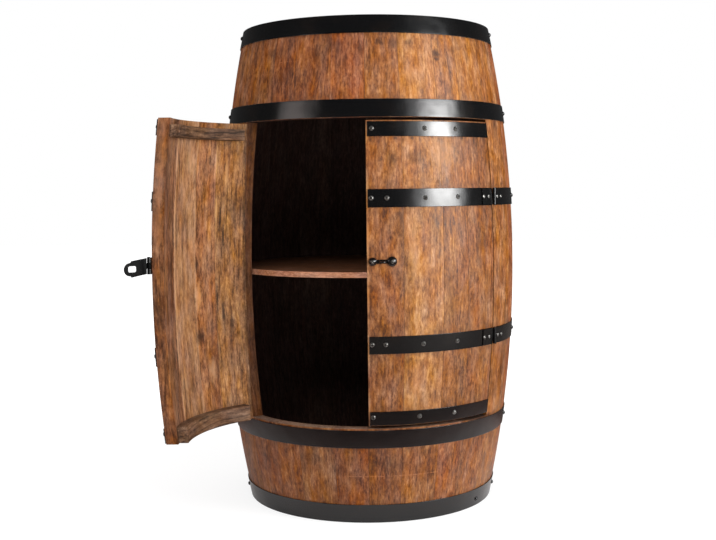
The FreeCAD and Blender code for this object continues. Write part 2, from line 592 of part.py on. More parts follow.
assert 0.1 < turned_volume - hinge_screw.Shape.Volume < 10.0, "driver slot cuts nothing"


def world_turn(pl, door):
    """Turn a placement on the closed left door to the rest pose."""
    if door != "left":
        return pl
    a = math.radians(HINGE)
    p = V(-g("hinge_axis_radius") * math.sin(a), -g("hinge_axis_radius") * math.cos(a), 0)
    rot = FreeCAD.Rotation(V(0, 0, 1), -g("left_door_open"))
    turn = FreeCAD.Placement(V(0, 0, 0), rot, p)
    return turn * pl


def fastener(model, name, azimuth, z, off, door=None, spin=0.0):
    link = doc.addObject("App::Link", name)
    link.LinkedObject = model
    pl = radial_placement(azimuth - 90.0, z, 0.0, back=-off) * FreeCAD.Placement(V(0, 0, 0), FreeCAD.Rotation(V(0, 0, 1), spin))
    link.Placement = world_turn(pl, door)
    return link


band_out = g("band_gap") + g("band_thickness")
nails = []
for label in HOOP_MIDS:
    for k, az in enumerate(NAIL_AZIMUTHS):
        nails.append(fastener(hoop_nail, "nail_%s_%d" % (label, k + 1), az, HOOP_MIDS[label], band_out))
nails.append(fastener(hoop_nail, "nail_bottom_front", 56.4, 12.0, band_out))
group("hoop_nails", nails)
group("hoop_rivets", [fastener(hoop_rivet, "rivet_%d" % (k + 1), az, z, off)
                      for k, (az, z, off) in enumerate(rivet_spots)])
fixed_screws = []
for side in (1, -1):
    for hz in ("upper_hinge_z", "lower_hinge_z"):
        for k, d in enumerate(LEAF_SCREWS):
            fixed_screws.append(fastener(hinge_screw, "fixed_leaf_screw_%s_%s_%d" % ("right" if side > 0 else "left", hz[:5], k + 1),
                                         side * (HINGE + d), g(hz), g("leaf_offset_out"), spin=25.0 + 40.0 * k))
group("hinge_fixed_screws", fixed_screws)
doc.recompute()


# ---------------------------------------------------------------- hinge leaves
def leaf(name, direction, z_mid_cell, knuckles, off_in, off_out, start_cell, angle_cell,
         height_cell, axis_cell, knuckle_cell, holes, hole_cell):
    """Curved leaf with its knuckles. Local azimuth 0 is the plate's edge beside the
    knuckle; direction +1 runs the plate to positive azimuth. knuckles is a list of
    (low, high) fractions of the leaf's height."""
    b = doc.addObject("PartDesign::Body", name)
    zm, hgt = g(z_mid_cell), g(height_cell)
    low = "params.%s - params.%s / 2" % (z_mid_cell, height_cell)
    sk = shell_sketch_levels(b, name + "_plate_section", off_in, off_out,
                             "params.%s" % z_mid_cell, "params.%s" % height_cell, -0.5, 0.5)
    revolve(b, sk, name + "_plate", "params." + angle_cell, reverse=direction < 0)
    doc.recompute()
    axis_local = -direction * g(start_cell)
    ax = math.radians(axis_local)
    r_ax = g(axis_cell)
    gap = g("knuckle_gap")
    for k, (f0, f1) in enumerate(knuckles):
        tab = shell_sketch_levels(b, "%s_tab_section_%d" % (name, k + 1), off_in, off_out,
                                  "params.%s" % z_mid_cell, "params.%s" % height_cell, f0, f1)
        revolve(b, tab, "%s_tab_%d" % (name, k + 1), "params." + start_cell, reverse=direction > 0)
        cyl = b.newObject("PartDesign::AdditiveCylinder", "%s_knuckle_%d" % (name, k + 1))
        cyl.Radius = g(knuckle_cell)
        cyl.setExpression("Radius", "params." + knuckle_cell)
        cyl.Height = (f1 - f0) * hgt
        cyl.setExpression("Height", "params.%s * %r" % (height_cell, f1 - f0))
        cyl.Placement = FreeCAD.Placement(V(r_ax * math.cos(ax), r_ax * math.sin(ax), zm + f0 * hgt), FreeCAD.Rotation())
        doc.recompute()
    bore = b.newObject("PartDesign::SubtractiveCylinder", name + "_bore")
    bore.Radius = g("bore_radius")
    bore.setExpression("Radius", "params.bore_radius")
    bore.Height = hgt + 20
    bore.Placement = FreeCAD.Placement(V(r_ax * math.cos(ax), r_ax * math.sin(ax), zm - hgt / 2 - 10), FreeCAD.Rotation())
    for k, d in enumerate(holes):
        drill(b, "%s_hole_%d" % (name, k + 1), direction * (d - g(start_cell)), zm, hole_cell, depth=10.0)
    return b


def shell_sketch_levels(body, name, off_in, off_out, mid, height, f0, f1):
    """Layer section between two fractions of a height about a middle level."""
    sk = body.newObject("Sketcher::SketchObject", name)
    sk.AttachmentSupport = [(plane_of(body, "XZ_Plane"), "")]
    sk.MapMode = "FlatFace"
    oi, oo = evaluate(off_in), evaluate(off_out)
    z0 = evaluate(mid) + f0 * evaluate(height)
    z1 = evaluate(mid) + f1 * evaluate(height)
    ro, ri = RHO + oo, RHO + oi
    ids = []
    for r in (ro, ri):
        ids.append(sk.addGeometry(Part.ArcOfCircle(
            Part.Circle(V(CX, HALF, 0), V(0, 0, 1), r),
            math.asin((z0 - HALF) / r), math.asin((z1 - HALF) / r))))
    a, c = ids

    def on(r, z):
        return V(CX + math.sqrt(r * r - (z - HALF) ** 2), z, 0)
    low = sk.addGeometry(Part.LineSegment(on(ri, z0), on(ro, z0)))
    high = sk.addGeometry(Part.LineSegment(on(ri, z1), on(ro, z1)))
    K = Sketcher.Constraint
    named(sk, "centre_x", "params.profile_radius - params.bilge_radius", "DistanceX", a, 3, -1, 1, -CX)
    named(sk, "centre_z", "params.total_height / 2", "DistanceY", -1, 1, a, 3, HALF)
    sk.addConstraint(K("Coincident", a, 3, c, 3))
    named(sk, "outer_radius", "params.profile_radius + " + off_out, "Radius", a, ro)
    named(sk, "inner_radius", "params.profile_radius + " + off_in, "Radius", c, ri)
    named(sk, "low", "%s + %s * (%r)" % (mid, height, f0), "DistanceY", -1, 1, a, 1, z0)
    named(sk, "high", "%s + %s * (%r)" % (mid, height, f1), "DistanceY", -1, 1, a, 2, z1)
    sk.addConstraint(K("Coincident", low, 1, c, 1))
    sk.addConstraint(K("Coincident", low, 2, a, 1))
    sk.addConstraint(K("Coincident", high, 1, c, 2))
    sk.addConstraint(K("Coincident", high, 2, a, 2))
    sk.addConstraint(K("Horizontal", low))
    sk.addConstraint(K("Horizontal", high))
    return sk


FIXED_KNUCKLES = [(-0.5, -0.18), (0.18, 0.5)]
DOOR_KNUCKLES = [(-0.17, 0.17)]
fixed_leaves, door_leaves, pins = [], {"left": [], "right": []}, []
for side, sgn in (("right", 1), ("left", -1)):
    for hz in ("upper_hinge_z", "lower_hinge_z"):
        tag = "%s_%s" % (side, hz[:5])
        f = leaf("fixed_leaf_" + tag, sgn, hz, FIXED_KNUCKLES, "params.leaf_offset_in", "params.leaf_offset_out",
                 "leaf_start", "leaf_angle", "leaf_height", "hinge_axis_radius", "knuckle_radius", LEAF_SCREWS, "hinge_screw_radius")
        d = leaf("door_leaf_" + tag, -sgn, hz, DOOR_KNUCKLES, "params.leaf_offset_in", "params.leaf_offset_out",
                 "leaf_start", "leaf_angle", "leaf_height", "hinge_axis_radius", "knuckle_radius", LEAF_SCREWS, "hinge_screw_radius")
        if sgn > 0:
            f = place(f, "params.hinge_azimuth + params.leaf_start")
            d = place(d, "params.hinge_azimuth - params.leaf_start")
        else:
            f = place(f, "-params.hinge_azimuth - params.leaf_start")
            d = place(d, "-params.hinge_azimuth + params.leaf_start", "left")
        fixed_leaves.append(f)
        door_leaves[side].append(d)
        # pin with a domed head, standing on the upper knuckle
        pin = doc.addObject("PartDesign::Body", "hinge_pin_" + tag)
        c1 = pin.newObject("PartDesign::AdditiveCylinder", "pin_rod_" + tag)
        c1.Radius = g("pin_radius")
        c1.setExpression("Radius", "params.pin_radius")
        c1.Height = g("leaf_height")
        c1.setExpression("Height", "params.leaf_height")
        doc.recompute()
        c2 = pin.newObject("PartDesign::AdditiveCylinder", "pin_head_" + tag)
        c2.Radius = g("pin_head_radius")
        c2.setExpression("Radius", "params.pin_head_radius")
        c2.Height = g("pin_head_height")
        c2.setExpression("Height", "params.pin_head_height")
        c2.Placement = FreeCAD.Placement(V(0, 0, g("leaf_height")), FreeCAD.Rotation())
        doc.recompute()
        a = math.radians(sgn * HINGE)
        pin.Placement = FreeCAD.Placement(V(g("hinge_axis_radius") * math.sin(a), -g("hinge_axis_radius") * math.cos(a),
                                            g(hz) - g("leaf_height") / 2), FreeCAD.Rotation())
        pins.append(pin)
group("hinge_fixed_leaves", fixed_leaves)
group("hinge_pins", pins)
group("left_hinge_door_leaves", door_leaves["left"])
group("right_hinge_door_leaves", door_leaves["right"])
doc.recompute()

# ---------------------------------------------------------------- doors
STRAPS = [("top_strap", "params.top_strap_low", "params.top_strap_high", TOP_STRAP, False),
          ("upper_hinge_strap", "params.upper_bilge_low", "params.upper_bilge_high", UPPER_HINGE_STRAP, True),
          ("lower_hinge_strap", "params.lower_bilge_low", "params.lower_bilge_high", LOWER_HINGE_STRAP, True),
          ("bottom_strap", "params.bottom_strap_low", "params.bottom_strap_high", BOTTOM_STRAP, False)]
HASP_SCREWS = [(-13.2, 6.0), (-13.2, -6.0), (-26.0, 0.0)]      # mm along the door from the hasp pin, height
hasp_az = math.degrees(g("hasp_pin_offset") / g("bilge_radius"))
STAPLE_ARC = g("staple_arc")
STAPLE_SCREWS = [9.8, 39.8]

for side, sgn in (("left", -1), ("right", 1)):
    door = side if side == "left" else None
    # holes of this door's wood: (distance from the meeting line in degrees, height, cell)
    holes = [(a, z, "shank_radius") for a, z in DOOR_DRILLS]
    for hz in ("upper_hinge_z", "lower_hinge_z"):
        holes += [(HINGE - d, g(hz), "hinge_screw_radius") for d in LEAF_SCREWS]
    if side == "left":
        holes += [(math.degrees(-(g("hasp_pin_offset") + s) / g("bilge_radius")), g("hasp_mid_z") + dz, "hinge_screw_radius")
                  for s, dz in HASP_SCREWS]
    else:
        holes += [(math.degrees(s / g("bilge_radius")), g("staple_z"), "hinge_screw_radius") for s in STAPLE_SCREWS]
    edge = 0.0
    for n, letter in enumerate("abcd"):
        width = g("door_stave_width_" + letter)
        w_expr = "params.door_stave_width_" + letter
        lo, hi = edge, edge + width
        lo_expr = "0" if n == 0 else " + ".join("params.door_stave_width_" + c for c in "abcd"[:n])
        if n == 0:
            lo += g("door_meeting_gap")
            lo_expr = "params.door_meeting_gap"
            w_expr += " - params.door_meeting_gap"
        if n == 3:
            hi -= g("seam_half_gap")
            w_expr += " - params.seam_half_gap"
        tag = "%s_door_stave_%d" % (side, n + 1)
        b = doc.addObject("PartDesign::Body", tag)
        sk = shell_sketch(b, tag + "_section", "-params.door_thickness", "0", "params.door_bottom", "params.door_top")
        revolve(b, sk, tag + "_bent", w_expr, reverse=sgn < 0)
        doc.recompute()
        for m, (a, z, cell) in enumerate(holes):
            if lo - 1.0 < a < hi + 1.0:
                drill(b, "%s_hole_%d" % (tag, m), sgn * (a - lo), z, cell)
        b = place(b, ("" if sgn > 0 else "-") + "(" + lo_expr + ")", door)
        part(tag, b)
        edge += width
    for label, z0, z1, spots, hinged in STRAPS:
        tag = "%s_door_%s" % (side, label)
        b = doc.addObject("PartDesign::Body", tag)
        sk = shell_sketch(b, tag + "_section", "params.band_gap", "params.band_gap + params.band_thickness", z0, z1)
        end = "params.band_hinge_inset" if hinged else "params.seam_half_gap"
        revolve(b, sk, tag + "_band", "params.hinge_azimuth - params.strap_edge_inset - " + end, reverse=sgn < 0)
        doc.recompute()
        lo = g("strap_edge_inset")
        for m, (a, z) in enumerate(spots):
            drill(b, "%s_hole_%d" % (tag, m), sgn * (a - lo), z, "shank_radius", depth=10.0)
        if hinged:
            hz = "upper_hinge_z" if label.startswith("upper") else "lower_hinge_z"
            for m, d in enumerate(LEAF_SCREWS):
                drill(b, "%s_leaf_hole_%d" % (tag, m), sgn * (HINGE - d - lo), g(hz), "hinge_screw_radius", depth=10.0)
        b = place(b, ("" if sgn > 0 else "-") + "params.strap_edge_inset", door)
        part(tag, b)
    for label, z0, z1, spots in (("top_batten", "params.top_batten_low", "params.top_batten_high", TOP_STRAP),
                                 ("bottom_batten", "params.bottom_batten_low", "params.bottom_batten_high", BOTTOM_STRAP)):
        tag = "%s_door_%s" % (side, label)
        b = doc.addObject("PartDesign::Body", tag)
        sk = shell_sketch(b, tag + "_section", "-params.door_thickness - 0.02 - params.batten_thickness",
                          "-params.door_thickness - 0.02", z0, z1)
        revolve(b, sk, tag + "_block", "params.hinge_azimuth - params.batten_edge_inset - params.batten_hinge_inset", reverse=sgn < 0)
        doc.recompute()
        lo = g("batten_edge_inset")
        for m, (a, z) in enumerate(spots):
            # blind hole: the screw ends inside the batten
            drill(b, "%s_hole_%d" % (tag, m), sgn * (a - lo), z, "shank_radius",
                  depth=g("batten_screw_length") - band_out + 0.3, height=g("batten_screw_length"))
        b = place(b, ("" if sgn > 0 else "-") + "params.batten_edge_inset", door)
        part(tag, b)
    screws = []
    for label, z0, z1, spots, hinged in STRAPS:
        for m, (a, z) in enumerate(spots):
            model = strap_screw if hinged else batten_screw
            screws.append(fastener(model, "%s_%s_screw_%d" % (side, label, m + 1), sgn * a, z, band_out, door))
    for hz in ("upper_hinge_z", "lower_hinge_z"):
        for m, d in enumerate(LEAF_SCREWS):
            screws.append(fastener(hinge_screw, "%s_%s_leaf_screw_%d" % (side, hz[:5], m + 1), sgn * (HINGE - d), g(hz),
                                   g("leaf_offset_out"), door, spin=15.0 + 50.0 * m))
    if side == "left":
        for m, (s, dz) in enumerate(HASP_SCREWS):
            az = math.degrees((g("hasp_pin_offset") + s) / g("bilge_radius"))
            screws.append(fastener(hinge_screw, "hasp_screw_%d" % (m + 1), az, g("hasp_mid_z") + dz, g("hasp_plate_out"), door, spin=30.0 * m))
    else:
        for m, s in enumerate(STAPLE_SCREWS):
            screws.append(fastener(hinge_screw, "staple_screw_%d" % (m + 1), math.degrees(s / g("bilge_radius")), g("staple_z"),
                                   0.05 + g("staple_plate_thickness"), door, spin=20.0 + 60.0 * m))
    group(side + "_door_screws", screws)
doc.recompute()

# ---------------------------------------------------------------- hasp
HASP_FIXED = [(-0.5, -0.19), (0.19, 0.5)]
plate = leaf("hasp_plate_body", -1, "hasp_mid_z", HASP_FIXED, "params.band_gap", "params.hasp_plate_out",
             "hasp_plate_start", "hasp_plate_angle", "hasp_height", "hasp_axis_radius", "hasp_knuckle_radius", [], "hinge_screw_radius")
for m, (s, dz) in enumerate(HASP_SCREWS):
    drill(plate, "hasp_plate_hole_%d" % (m + 1), math.degrees(s / g("bilge_radius")) + g("hasp_plate_start"),
          g("hasp_mid_z") + dz, "hinge_screw_radius", depth=10.0)
plate = place(plate, "%r - params.hasp_plate_start" % hasp_az, "left")
part("hasp_plate", plate)

closed_pin = V(g("hasp_axis_radius") * math.sin(math.radians(hasp_az)),
               -g("hasp_axis_radius") * math.cos(math.radians(hasp_az)), 0)
pin = doc.addObject("PartDesign::Body", "hasp_pin_body")
c1 = pin.newObject("PartDesign::AdditiveCylinder", "hasp_pin_rod")
c1.Radius = g("pin_radius")
c1.setExpression("Radius", "params.pin_radius")
c1.Height = g("hasp_height")
c1.setExpression("Height", "params.hasp_height")
doc.recompute()
c2 = pin.newObject("PartDesign::AdditiveCylinder", "hasp_pin_head")
c2.Radius = g("pin_head_radius")
c2.setExpression("Radius", "params.pin_head_radius")
c2.Height = g("pin_head_height")
c2.setExpression("Height", "params.pin_head_height")
c2.Placement = FreeCAD.Placement(V(0, 0, g("hasp_height")), FreeCAD.Rotation())
doc.recompute()
pin.Placement = world_turn(FreeCAD.Placement(V(closed_pin.x, closed_pin.y, g("hasp_mid_z") - g("hasp_height") / 2),
                                             FreeCAD.Rotation()), "left")
part("hasp_pin", pin)

# Strap of the hasp. Own frame: pin axis on Z at the origin, strap along +X when
# closed, -Y outwards, z = 0 at half height. The plan is a thin strip with a small
# outward step; the outline seen from the front is cut out of it.
th = g("hasp_strap_thickness")
y0, y1 = -0.75, -1.9            # inner faces of the root part and of the outer part
L = g("hasp_strap_length")
plan = doc.addObject("PartDesign::Body", "hasp_strap_plan")
sk = plan.newObject("Sketcher::SketchObject", "hasp_strap_strip")
sk.AttachmentSupport = [(plane_of(plan, "XY_Plane"), "")]
sk.MapMode = "FlatFace"
p = [V(0.0, y0, 0), V(9.0, y0, 0), V(10.8, y1, 0), V(L, y1, 0), V(L, y1 - th, 0), V(10.2, y1 - th, 0), V(8.4, y0 - th, 0), V(0.0, y0 - th, 0)]
ids = [sk.addGeometry(Part.LineSegment(p[k], p[(k + 1) % 8])) for k in range(8)]
for k in range(8):
    sk.addConstraint(Sketcher.Constraint("Coincident", ids[k], 2, ids[(k + 1) % 8], 1))
for k in (0, 2, 4, 6):
    sk.addConstraint(Sketcher.Constraint("Horizontal", ids[k]))
for k in (3, 7):
    sk.addConstraint(Sketcher.Constraint("Vertical", ids[k]))
sk.addConstraint(Sketcher.Constraint("PointOnObject", ids[0], 1, -2))
named(sk, "length", "params.hasp_strap_length", "DistanceX", ids[0], 1, ids[2], 2, L)
named(sk, "root_thickness", "params.hasp_strap_thickness", "DistanceY", ids[7], 1, ids[7], 2, th)
named(sk, "tip_thickness", "params.hasp_strap_thickness", "DistanceY", ids[3], 2, ids[3], 1, th)
sk.addConstraint(Sketcher.Constraint("DistanceY", ids[0], 1, -1, 1, -y0))
sk.addConstraint(Sketcher.Constraint("DistanceY", ids[2], 1, -1, 1, -y1))
sk.addConstraint(Sketcher.Constraint("DistanceX", -1, 1, ids[1], 1, 9.0))
sk.addConstraint(Sketcher.Constraint("DistanceX", -1, 1, ids[2], 1, 10.8))
sk.addConstraint(Sketcher.Constraint("DistanceX", -1, 1, ids[5], 1, 10.2))
sk.addConstraint(Sketcher.Constraint("DistanceX", -1, 1, ids[6], 1, 8.4))
pad = plan.newObject("PartDesign::Pad", "hasp_strap_strip_pad")
pad.Profile = sk
pad.Length = 60.0
pad.Midplane = True
doc.recompute()

outline = doc.addObject("PartDesign::Body", "hasp_strap_outline")
sk = outline.newObject("Sketcher::SketchObject", "hasp_strap_front")
sk.AttachmentSupport = [(plane_of(outline, "XZ_Plane"), "")]
sk.MapMode = "FlatFace"
droop = math.tan(math.radians(g("hasp_droop")))
hw = 11.6                       # half height at the root
tip_r = 9.6                     # radius of the rounded tip
xs = 26.5                       # where the sides step in to the rounded tip
xc = L - tip_r


def zc(x):
    return -droop * max(0.0, x)


kn = 0.19 * g("hasp_height") - g("knuckle_gap")
P0 = [V(3.3, hw, 0), V(xs, hw + zc(xs) + 0.2, 0), V(xs + 1.2, tip_r + zc(xs) + 0.1, 0), V(xc, tip_r + zc(xc), 0)]
P1 = [V(xc, -tip_r + zc(xc), 0), V(xs + 1.2, -tip_r + zc(xs) - 0.1, 0), V(xs, -hw + zc(xs) - 0.2, 0), V(3.3, -hw, 0)]
P2 = [V(3.3, -kn, 0), V(0.0, -kn, 0), V(0.0, kn, 0), V(3.3, kn, 0)]
for a, c in ((P0[0], P0[1]), (P0[1], P0[2]), (P0[2], P0[3])):
    sk.addGeometry(Part.LineSegment(a, c))
sk.addGeometry(Part.Arc(P0[3], V(L, zc(xc), 0), P1[0]))
for a, c in ((P1[0], P1[1]), (P1[1], P1[2]), (P1[2], P1[3]), (P1[3], P2[0]), (P2[0], P2[1]), (P2[1], P2[2]), (P2[2], P2[3]), (P2[3], P0[0])):
    sk.addGeometry(Part.LineSegment(a, c))
# slot: rounded rectangle, kept clear of the staple
s0, s1, sh = g("slot_near"), g("slot_far"), g("slot_height") / 2
zm = zc((s0 + s1) / 2)
cr = 2.6
seg = [((s0 + cr, zm + sh), (s1 - cr, zm + sh)), ((s1, zm + sh - cr), (s1, zm - sh + cr)),
       ((s1 - cr, zm - sh), (s0 + cr, zm - sh)), ((s0, zm - sh + cr), (s0, zm + sh - cr))]
mids = [(s1 - cr * (1 - math.sqrt(0.5)), zm + sh - cr * (1 - math.sqrt(0.5))), (s1 - cr * (1 - math.sqrt(0.5)), zm - sh + cr * (1 - math.sqrt(0.5))),
        (s0 + cr * (1 - math.sqrt(0.5)), zm - sh + cr * (1 - math.sqrt(0.5))), (s0 + cr * (1 - math.sqrt(0.5)), zm + sh - cr * (1 - math.sqrt(0.5)))]
for k in range(4):
    (a, c), nxt = seg[k], seg[(k + 1) % 4][0]
    sk.addGeometry(Part.LineSegment(V(a[0], a[1], 0), V(c[0], c[1], 0)))
    sk.addGeometry(Part.Arc(V(c[0], c[1], 0), V(mids[k][0], mids[k][1], 0), V(nxt[0], nxt[1], 0)))
pad = outline.newObject("PartDesign::Pad", "hasp_strap_front_pad")
pad.Profile = sk
pad.Length = 40.0
pad.Midplane = True
doc.recompute()
strip = doc.addObject("Part::Common", "hasp_strap_blank")
strip.Base, strip.Tool = plan, outline
ring = doc.addObject("Part::Cylinder", "hasp_strap_knuckle")
ring.Radius = g("hasp_knuckle_radius")
ring.setExpression("Radius", "params.hasp_knuckle_radius")
ring.Height = 2 * kn
ring.setExpression("Height", "(params.hasp_height * 0.19 - params.knuckle_gap) * 2")
ring.Placement = FreeCAD.Placement(V(0, 0, -kn), FreeCAD.Rotation())
joined = doc.addObject("Part::Fuse", "hasp_strap_joined")
joined.Base, joined.Tool = strip, ring
bore = doc.addObject("Part::Cylinder", "hasp_strap_bore")
bore.Radius = g("bore_radius")
bore.setExpression("Radius", "params.bore_radius")
bore.Height = 40.0
bore.Placement = FreeCAD.Placement(V(0, 0, -20), FreeCAD.Rotation())
strap = doc.addObject("Part::Cut", "hasp_strap_cut")
strap.Base, strap.Tool = joined, bore
doc.recompute()
# closed on the barrel, swung out to its rest angle, then turned with the open door
swing = FreeCAD.Placement(V(closed_pin.x, closed_pin.y, g("hasp_mid_z")),
                          FreeCAD.Rotation(V(0, 0, 1), hasp_az - g("hasp_rest_angle")))
strap.Placement = world_turn(swing, "left")
part("hasp_strap", strap)

# ---------------------------------------------------------------- staple
# Own frame: x along the door, -Y outwards, z up, origin on the plate's back.
st_az = math.degrees(STAPLE_ARC / g("bilge_radius"))
pt = g("staple_plate_thickness")
base = doc.addObject("PartDesign::Body", "staple_base")
sk = shell_sketch_levels(base, "staple_plate_section", "0.05", "0.05 + params.staple_plate_thickness", "params.staple_z", "6", -0.5, 0.5)
revolve(base, sk, "staple_neck", math.degrees((STAPLE_SCREWS[1] - STAPLE_SCREWS[0]) / g("bilge_radius")))
doc.recompute()
place(base, "%r" % math.degrees(STAPLE_SCREWS[0] / g("bilge_radius")))
lobes = []
for k, (s, rad) in enumerate(((STAPLE_SCREWS[0], 6.0), (STAPLE_SCREWS[1], 7.0))):
    lobe_ring = doc.addObject("PartDesign::Body", "staple_lobe_ring_%d" % (k + 1))
    sk = shell_sketch_levels(lobe_ring, "staple_lobe_section_%d" % (k + 1), "0.05", "0.05 + params.staple_plate_thickness", "params.staple_z", "16", -0.5, 0.5)
    revolve(lobe_ring, sk, "staple_lobe_band_%d" % (k + 1), 8.0)
    doc.recompute()
    place(lobe_ring, "%r" % (math.degrees(s / g("bilge_radius")) - 4.0))
    cutter = doc.addObject("Part::Cylinder", "staple_lobe_cutter_%d" % (k + 1))
    cutter.Radius = rad
    cutter.Height = 20.0
    cutter.Placement = radial_placement(math.degrees(s / g("bilge_radius")) - 90.0, g("staple_z"), 0.0, back=8.0)
    lobe = doc.addObject("Part::Common", "staple_lobe_%d" % (k + 1))
    lobe.Base, lobe.Tool = lobe_ring, cutter
    lobes.append(lobe)
doc.recompute()
# loop of round wire: two legs and a half ring, level, legs let into the plate
wr, br, leg = g("staple_wire_radius"), g("staple_bend_radius"), g("staple_leg")
loop_parts = []
for k, s in enumerate((-1, 1)):
    c = doc.addObject("Part::Cylinder", "staple_leg_%d" % (k + 1))
    c.Radius = wr
    c.setExpression("Radius", "params.staple_wire_radius")
    c.Height = leg
    c.setExpression("Height", "params.staple_leg")
    c.Placement = FreeCAD.Placement(V(s * br, 0, 0), FreeCAD.Rotation(V(1, 0, 0), 90))
    loop_parts.append(c)
tor = doc.addObject("Part::Torus", "staple_bend")
tor.Radius1 = br
tor.setExpression("Radius1", "params.staple_bend_radius")
tor.Radius2 = wr
tor.setExpression("Radius2", "params.staple_wire_radius")
tor.Angle3 = 180.0
tor.Placement = FreeCAD.Placement(V(0, -leg, 0), FreeCAD.Rotation(V(0, 0, 1), 180))
loop_parts.append(tor)
loop = doc.addObject("Part::MultiFuse", "staple_loop")
loop.Shapes = loop_parts
doc.recompute()
a = math.radians(st_az)
r0 = surf_r(g("staple_z"), 0.05) + 0.6
loop.Placement = FreeCAD.Placement(V(r0 * math.sin(a), -r0 * math.cos(a), g("staple_z")), FreeCAD.Rotation(V(0, 0, 1), st_az))
whole = doc.addObject("Part::MultiFuse", "staple_whole")
whole.Shapes = [base] + lobes + [loop]
doc.recompute()
drills = []
for k, s in enumerate(STAPLE_SCREWS):
    c = doc.addObject("Part::Cylinder", "staple_screw_hole_%d" % (k + 1))
    c.Radius = g("hinge_screw_radius")
    c.setExpression("Radius", "params.hinge_screw_radius")
    c.Height = 20.0
    c.Placement = radial_placement(math.degrees(s / g("bilge_radius")) - 90.0, g("staple_z"), 0.0, back=8.0)
    drills.append(c)
drill_set = doc.addObject("Part::MultiFuse", "staple_drills")
drill_set.Shapes = drills
staple = doc.addObject("Part::Cut", "staple_cut")
staple.Base, staple.Tool = whole, drill_set
doc.recompute()
part("staple", staple)

# ---------------------------------------------------------------- checks and output
bad = []
for o in doc.Objects:
    for s in o.State:
        if "Invalid" in s or "Error" in s:
            bad.append((o.Name, s))
for label, o in parts:
    shp = o.Shape
    if shp.isNull() or not shp.isValid() or not shp.Solids:
        bad.append((label, "shape"))
if bad:
    raise RuntimeError("failed objects: %r" % bad)
labels = [l for l, o in parts]
assert len(labels) == len(set(labels)) and len(labels) <= 60, len(labels)

os.makedirs("parts", exist_ok=True)
for old in os.listdir("parts"):
    if old.endswith(".step"):
        os.remove(os.path.join("parts", old))
for label, o in parts:
    o.Shape.exportStep("parts/%s.step" % label)
hx = g("hinge_axis_radius")
sa, ca = math.sin(math.radians(HINGE)), math.cos(math.radians(HINGE))
print("nodes", len(parts), "solids", sum(len(o.Shape.Solids) for l, o in parts))
print("left hinge axis  (%.3f, %.3f)" % (-hx * sa, -hx * ca))
print("right hinge axis (%.3f, %.3f)" % (hx * sa, -hx * ca))
hp = world_turn(FreeCAD.Placement(closed_pin, FreeCAD.Rotation()), "left").Base
print("hasp axis        (%.3f, %.3f)" % (hp.x, hp.y))
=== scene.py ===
import math
import random

import bpy
import numpy as np
from mathutils import Matrix, Vector


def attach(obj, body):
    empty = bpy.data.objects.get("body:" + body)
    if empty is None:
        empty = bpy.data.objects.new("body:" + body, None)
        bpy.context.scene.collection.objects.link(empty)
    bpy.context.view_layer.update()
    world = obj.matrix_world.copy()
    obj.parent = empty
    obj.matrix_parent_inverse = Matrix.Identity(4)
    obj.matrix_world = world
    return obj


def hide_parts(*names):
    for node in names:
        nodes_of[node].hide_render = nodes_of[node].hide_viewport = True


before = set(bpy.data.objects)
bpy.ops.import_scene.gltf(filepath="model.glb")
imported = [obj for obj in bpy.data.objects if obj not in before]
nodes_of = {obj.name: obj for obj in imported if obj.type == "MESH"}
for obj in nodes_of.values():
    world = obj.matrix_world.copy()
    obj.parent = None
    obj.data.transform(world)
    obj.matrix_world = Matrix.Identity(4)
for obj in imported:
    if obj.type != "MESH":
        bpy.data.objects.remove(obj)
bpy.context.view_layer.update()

scene = bpy.context.scene

# ------------------------------------------------------------------ barrel curve
# All sizes are in millimetres until a mesh is made. A point of the barrel is given
# by its azimuth (degrees from the front, positive towards +X), its height and its
# offset from the outer surface along the surface normal.
CX, RHO, HALF = -1652.0, 1904.0, 400.0
HINGE = 54.9
HINGE_R = 252.8
LEFT_OPEN = math.radians(-88.7)


def surf(z, off=0.0):
    return CX + np.sqrt((RHO + off) ** 2 - (np.asarray(z, float) - HALF) ** 2)


def on_barrel(az, z, off):
    az, z, off = (np.asarray(v, float) for v in (az, z, off))
    r = surf(z, off)
    a = np.radians(az)
    return np.stack([r * np.sin(a), -r * np.cos(a), z + 0 * r], -1)


LEFT_P = np.array([-HINGE_R * math.sin(math.radians(HINGE)), -HINGE_R * math.cos(math.radians(HINGE)), 0.0])


def to_left_door(p):
    """Points of the closed left door, turned to its rest pose."""
    c, s = math.cos(LEFT_OPEN), math.sin(LEFT_OPEN)
    q = np.asarray(p, float) - LEFT_P
    return np.stack([c * q[..., 0] - s * q[..., 1], s * q[..., 0] + c * q[..., 1], q[..., 2]], -1) + LEFT_P


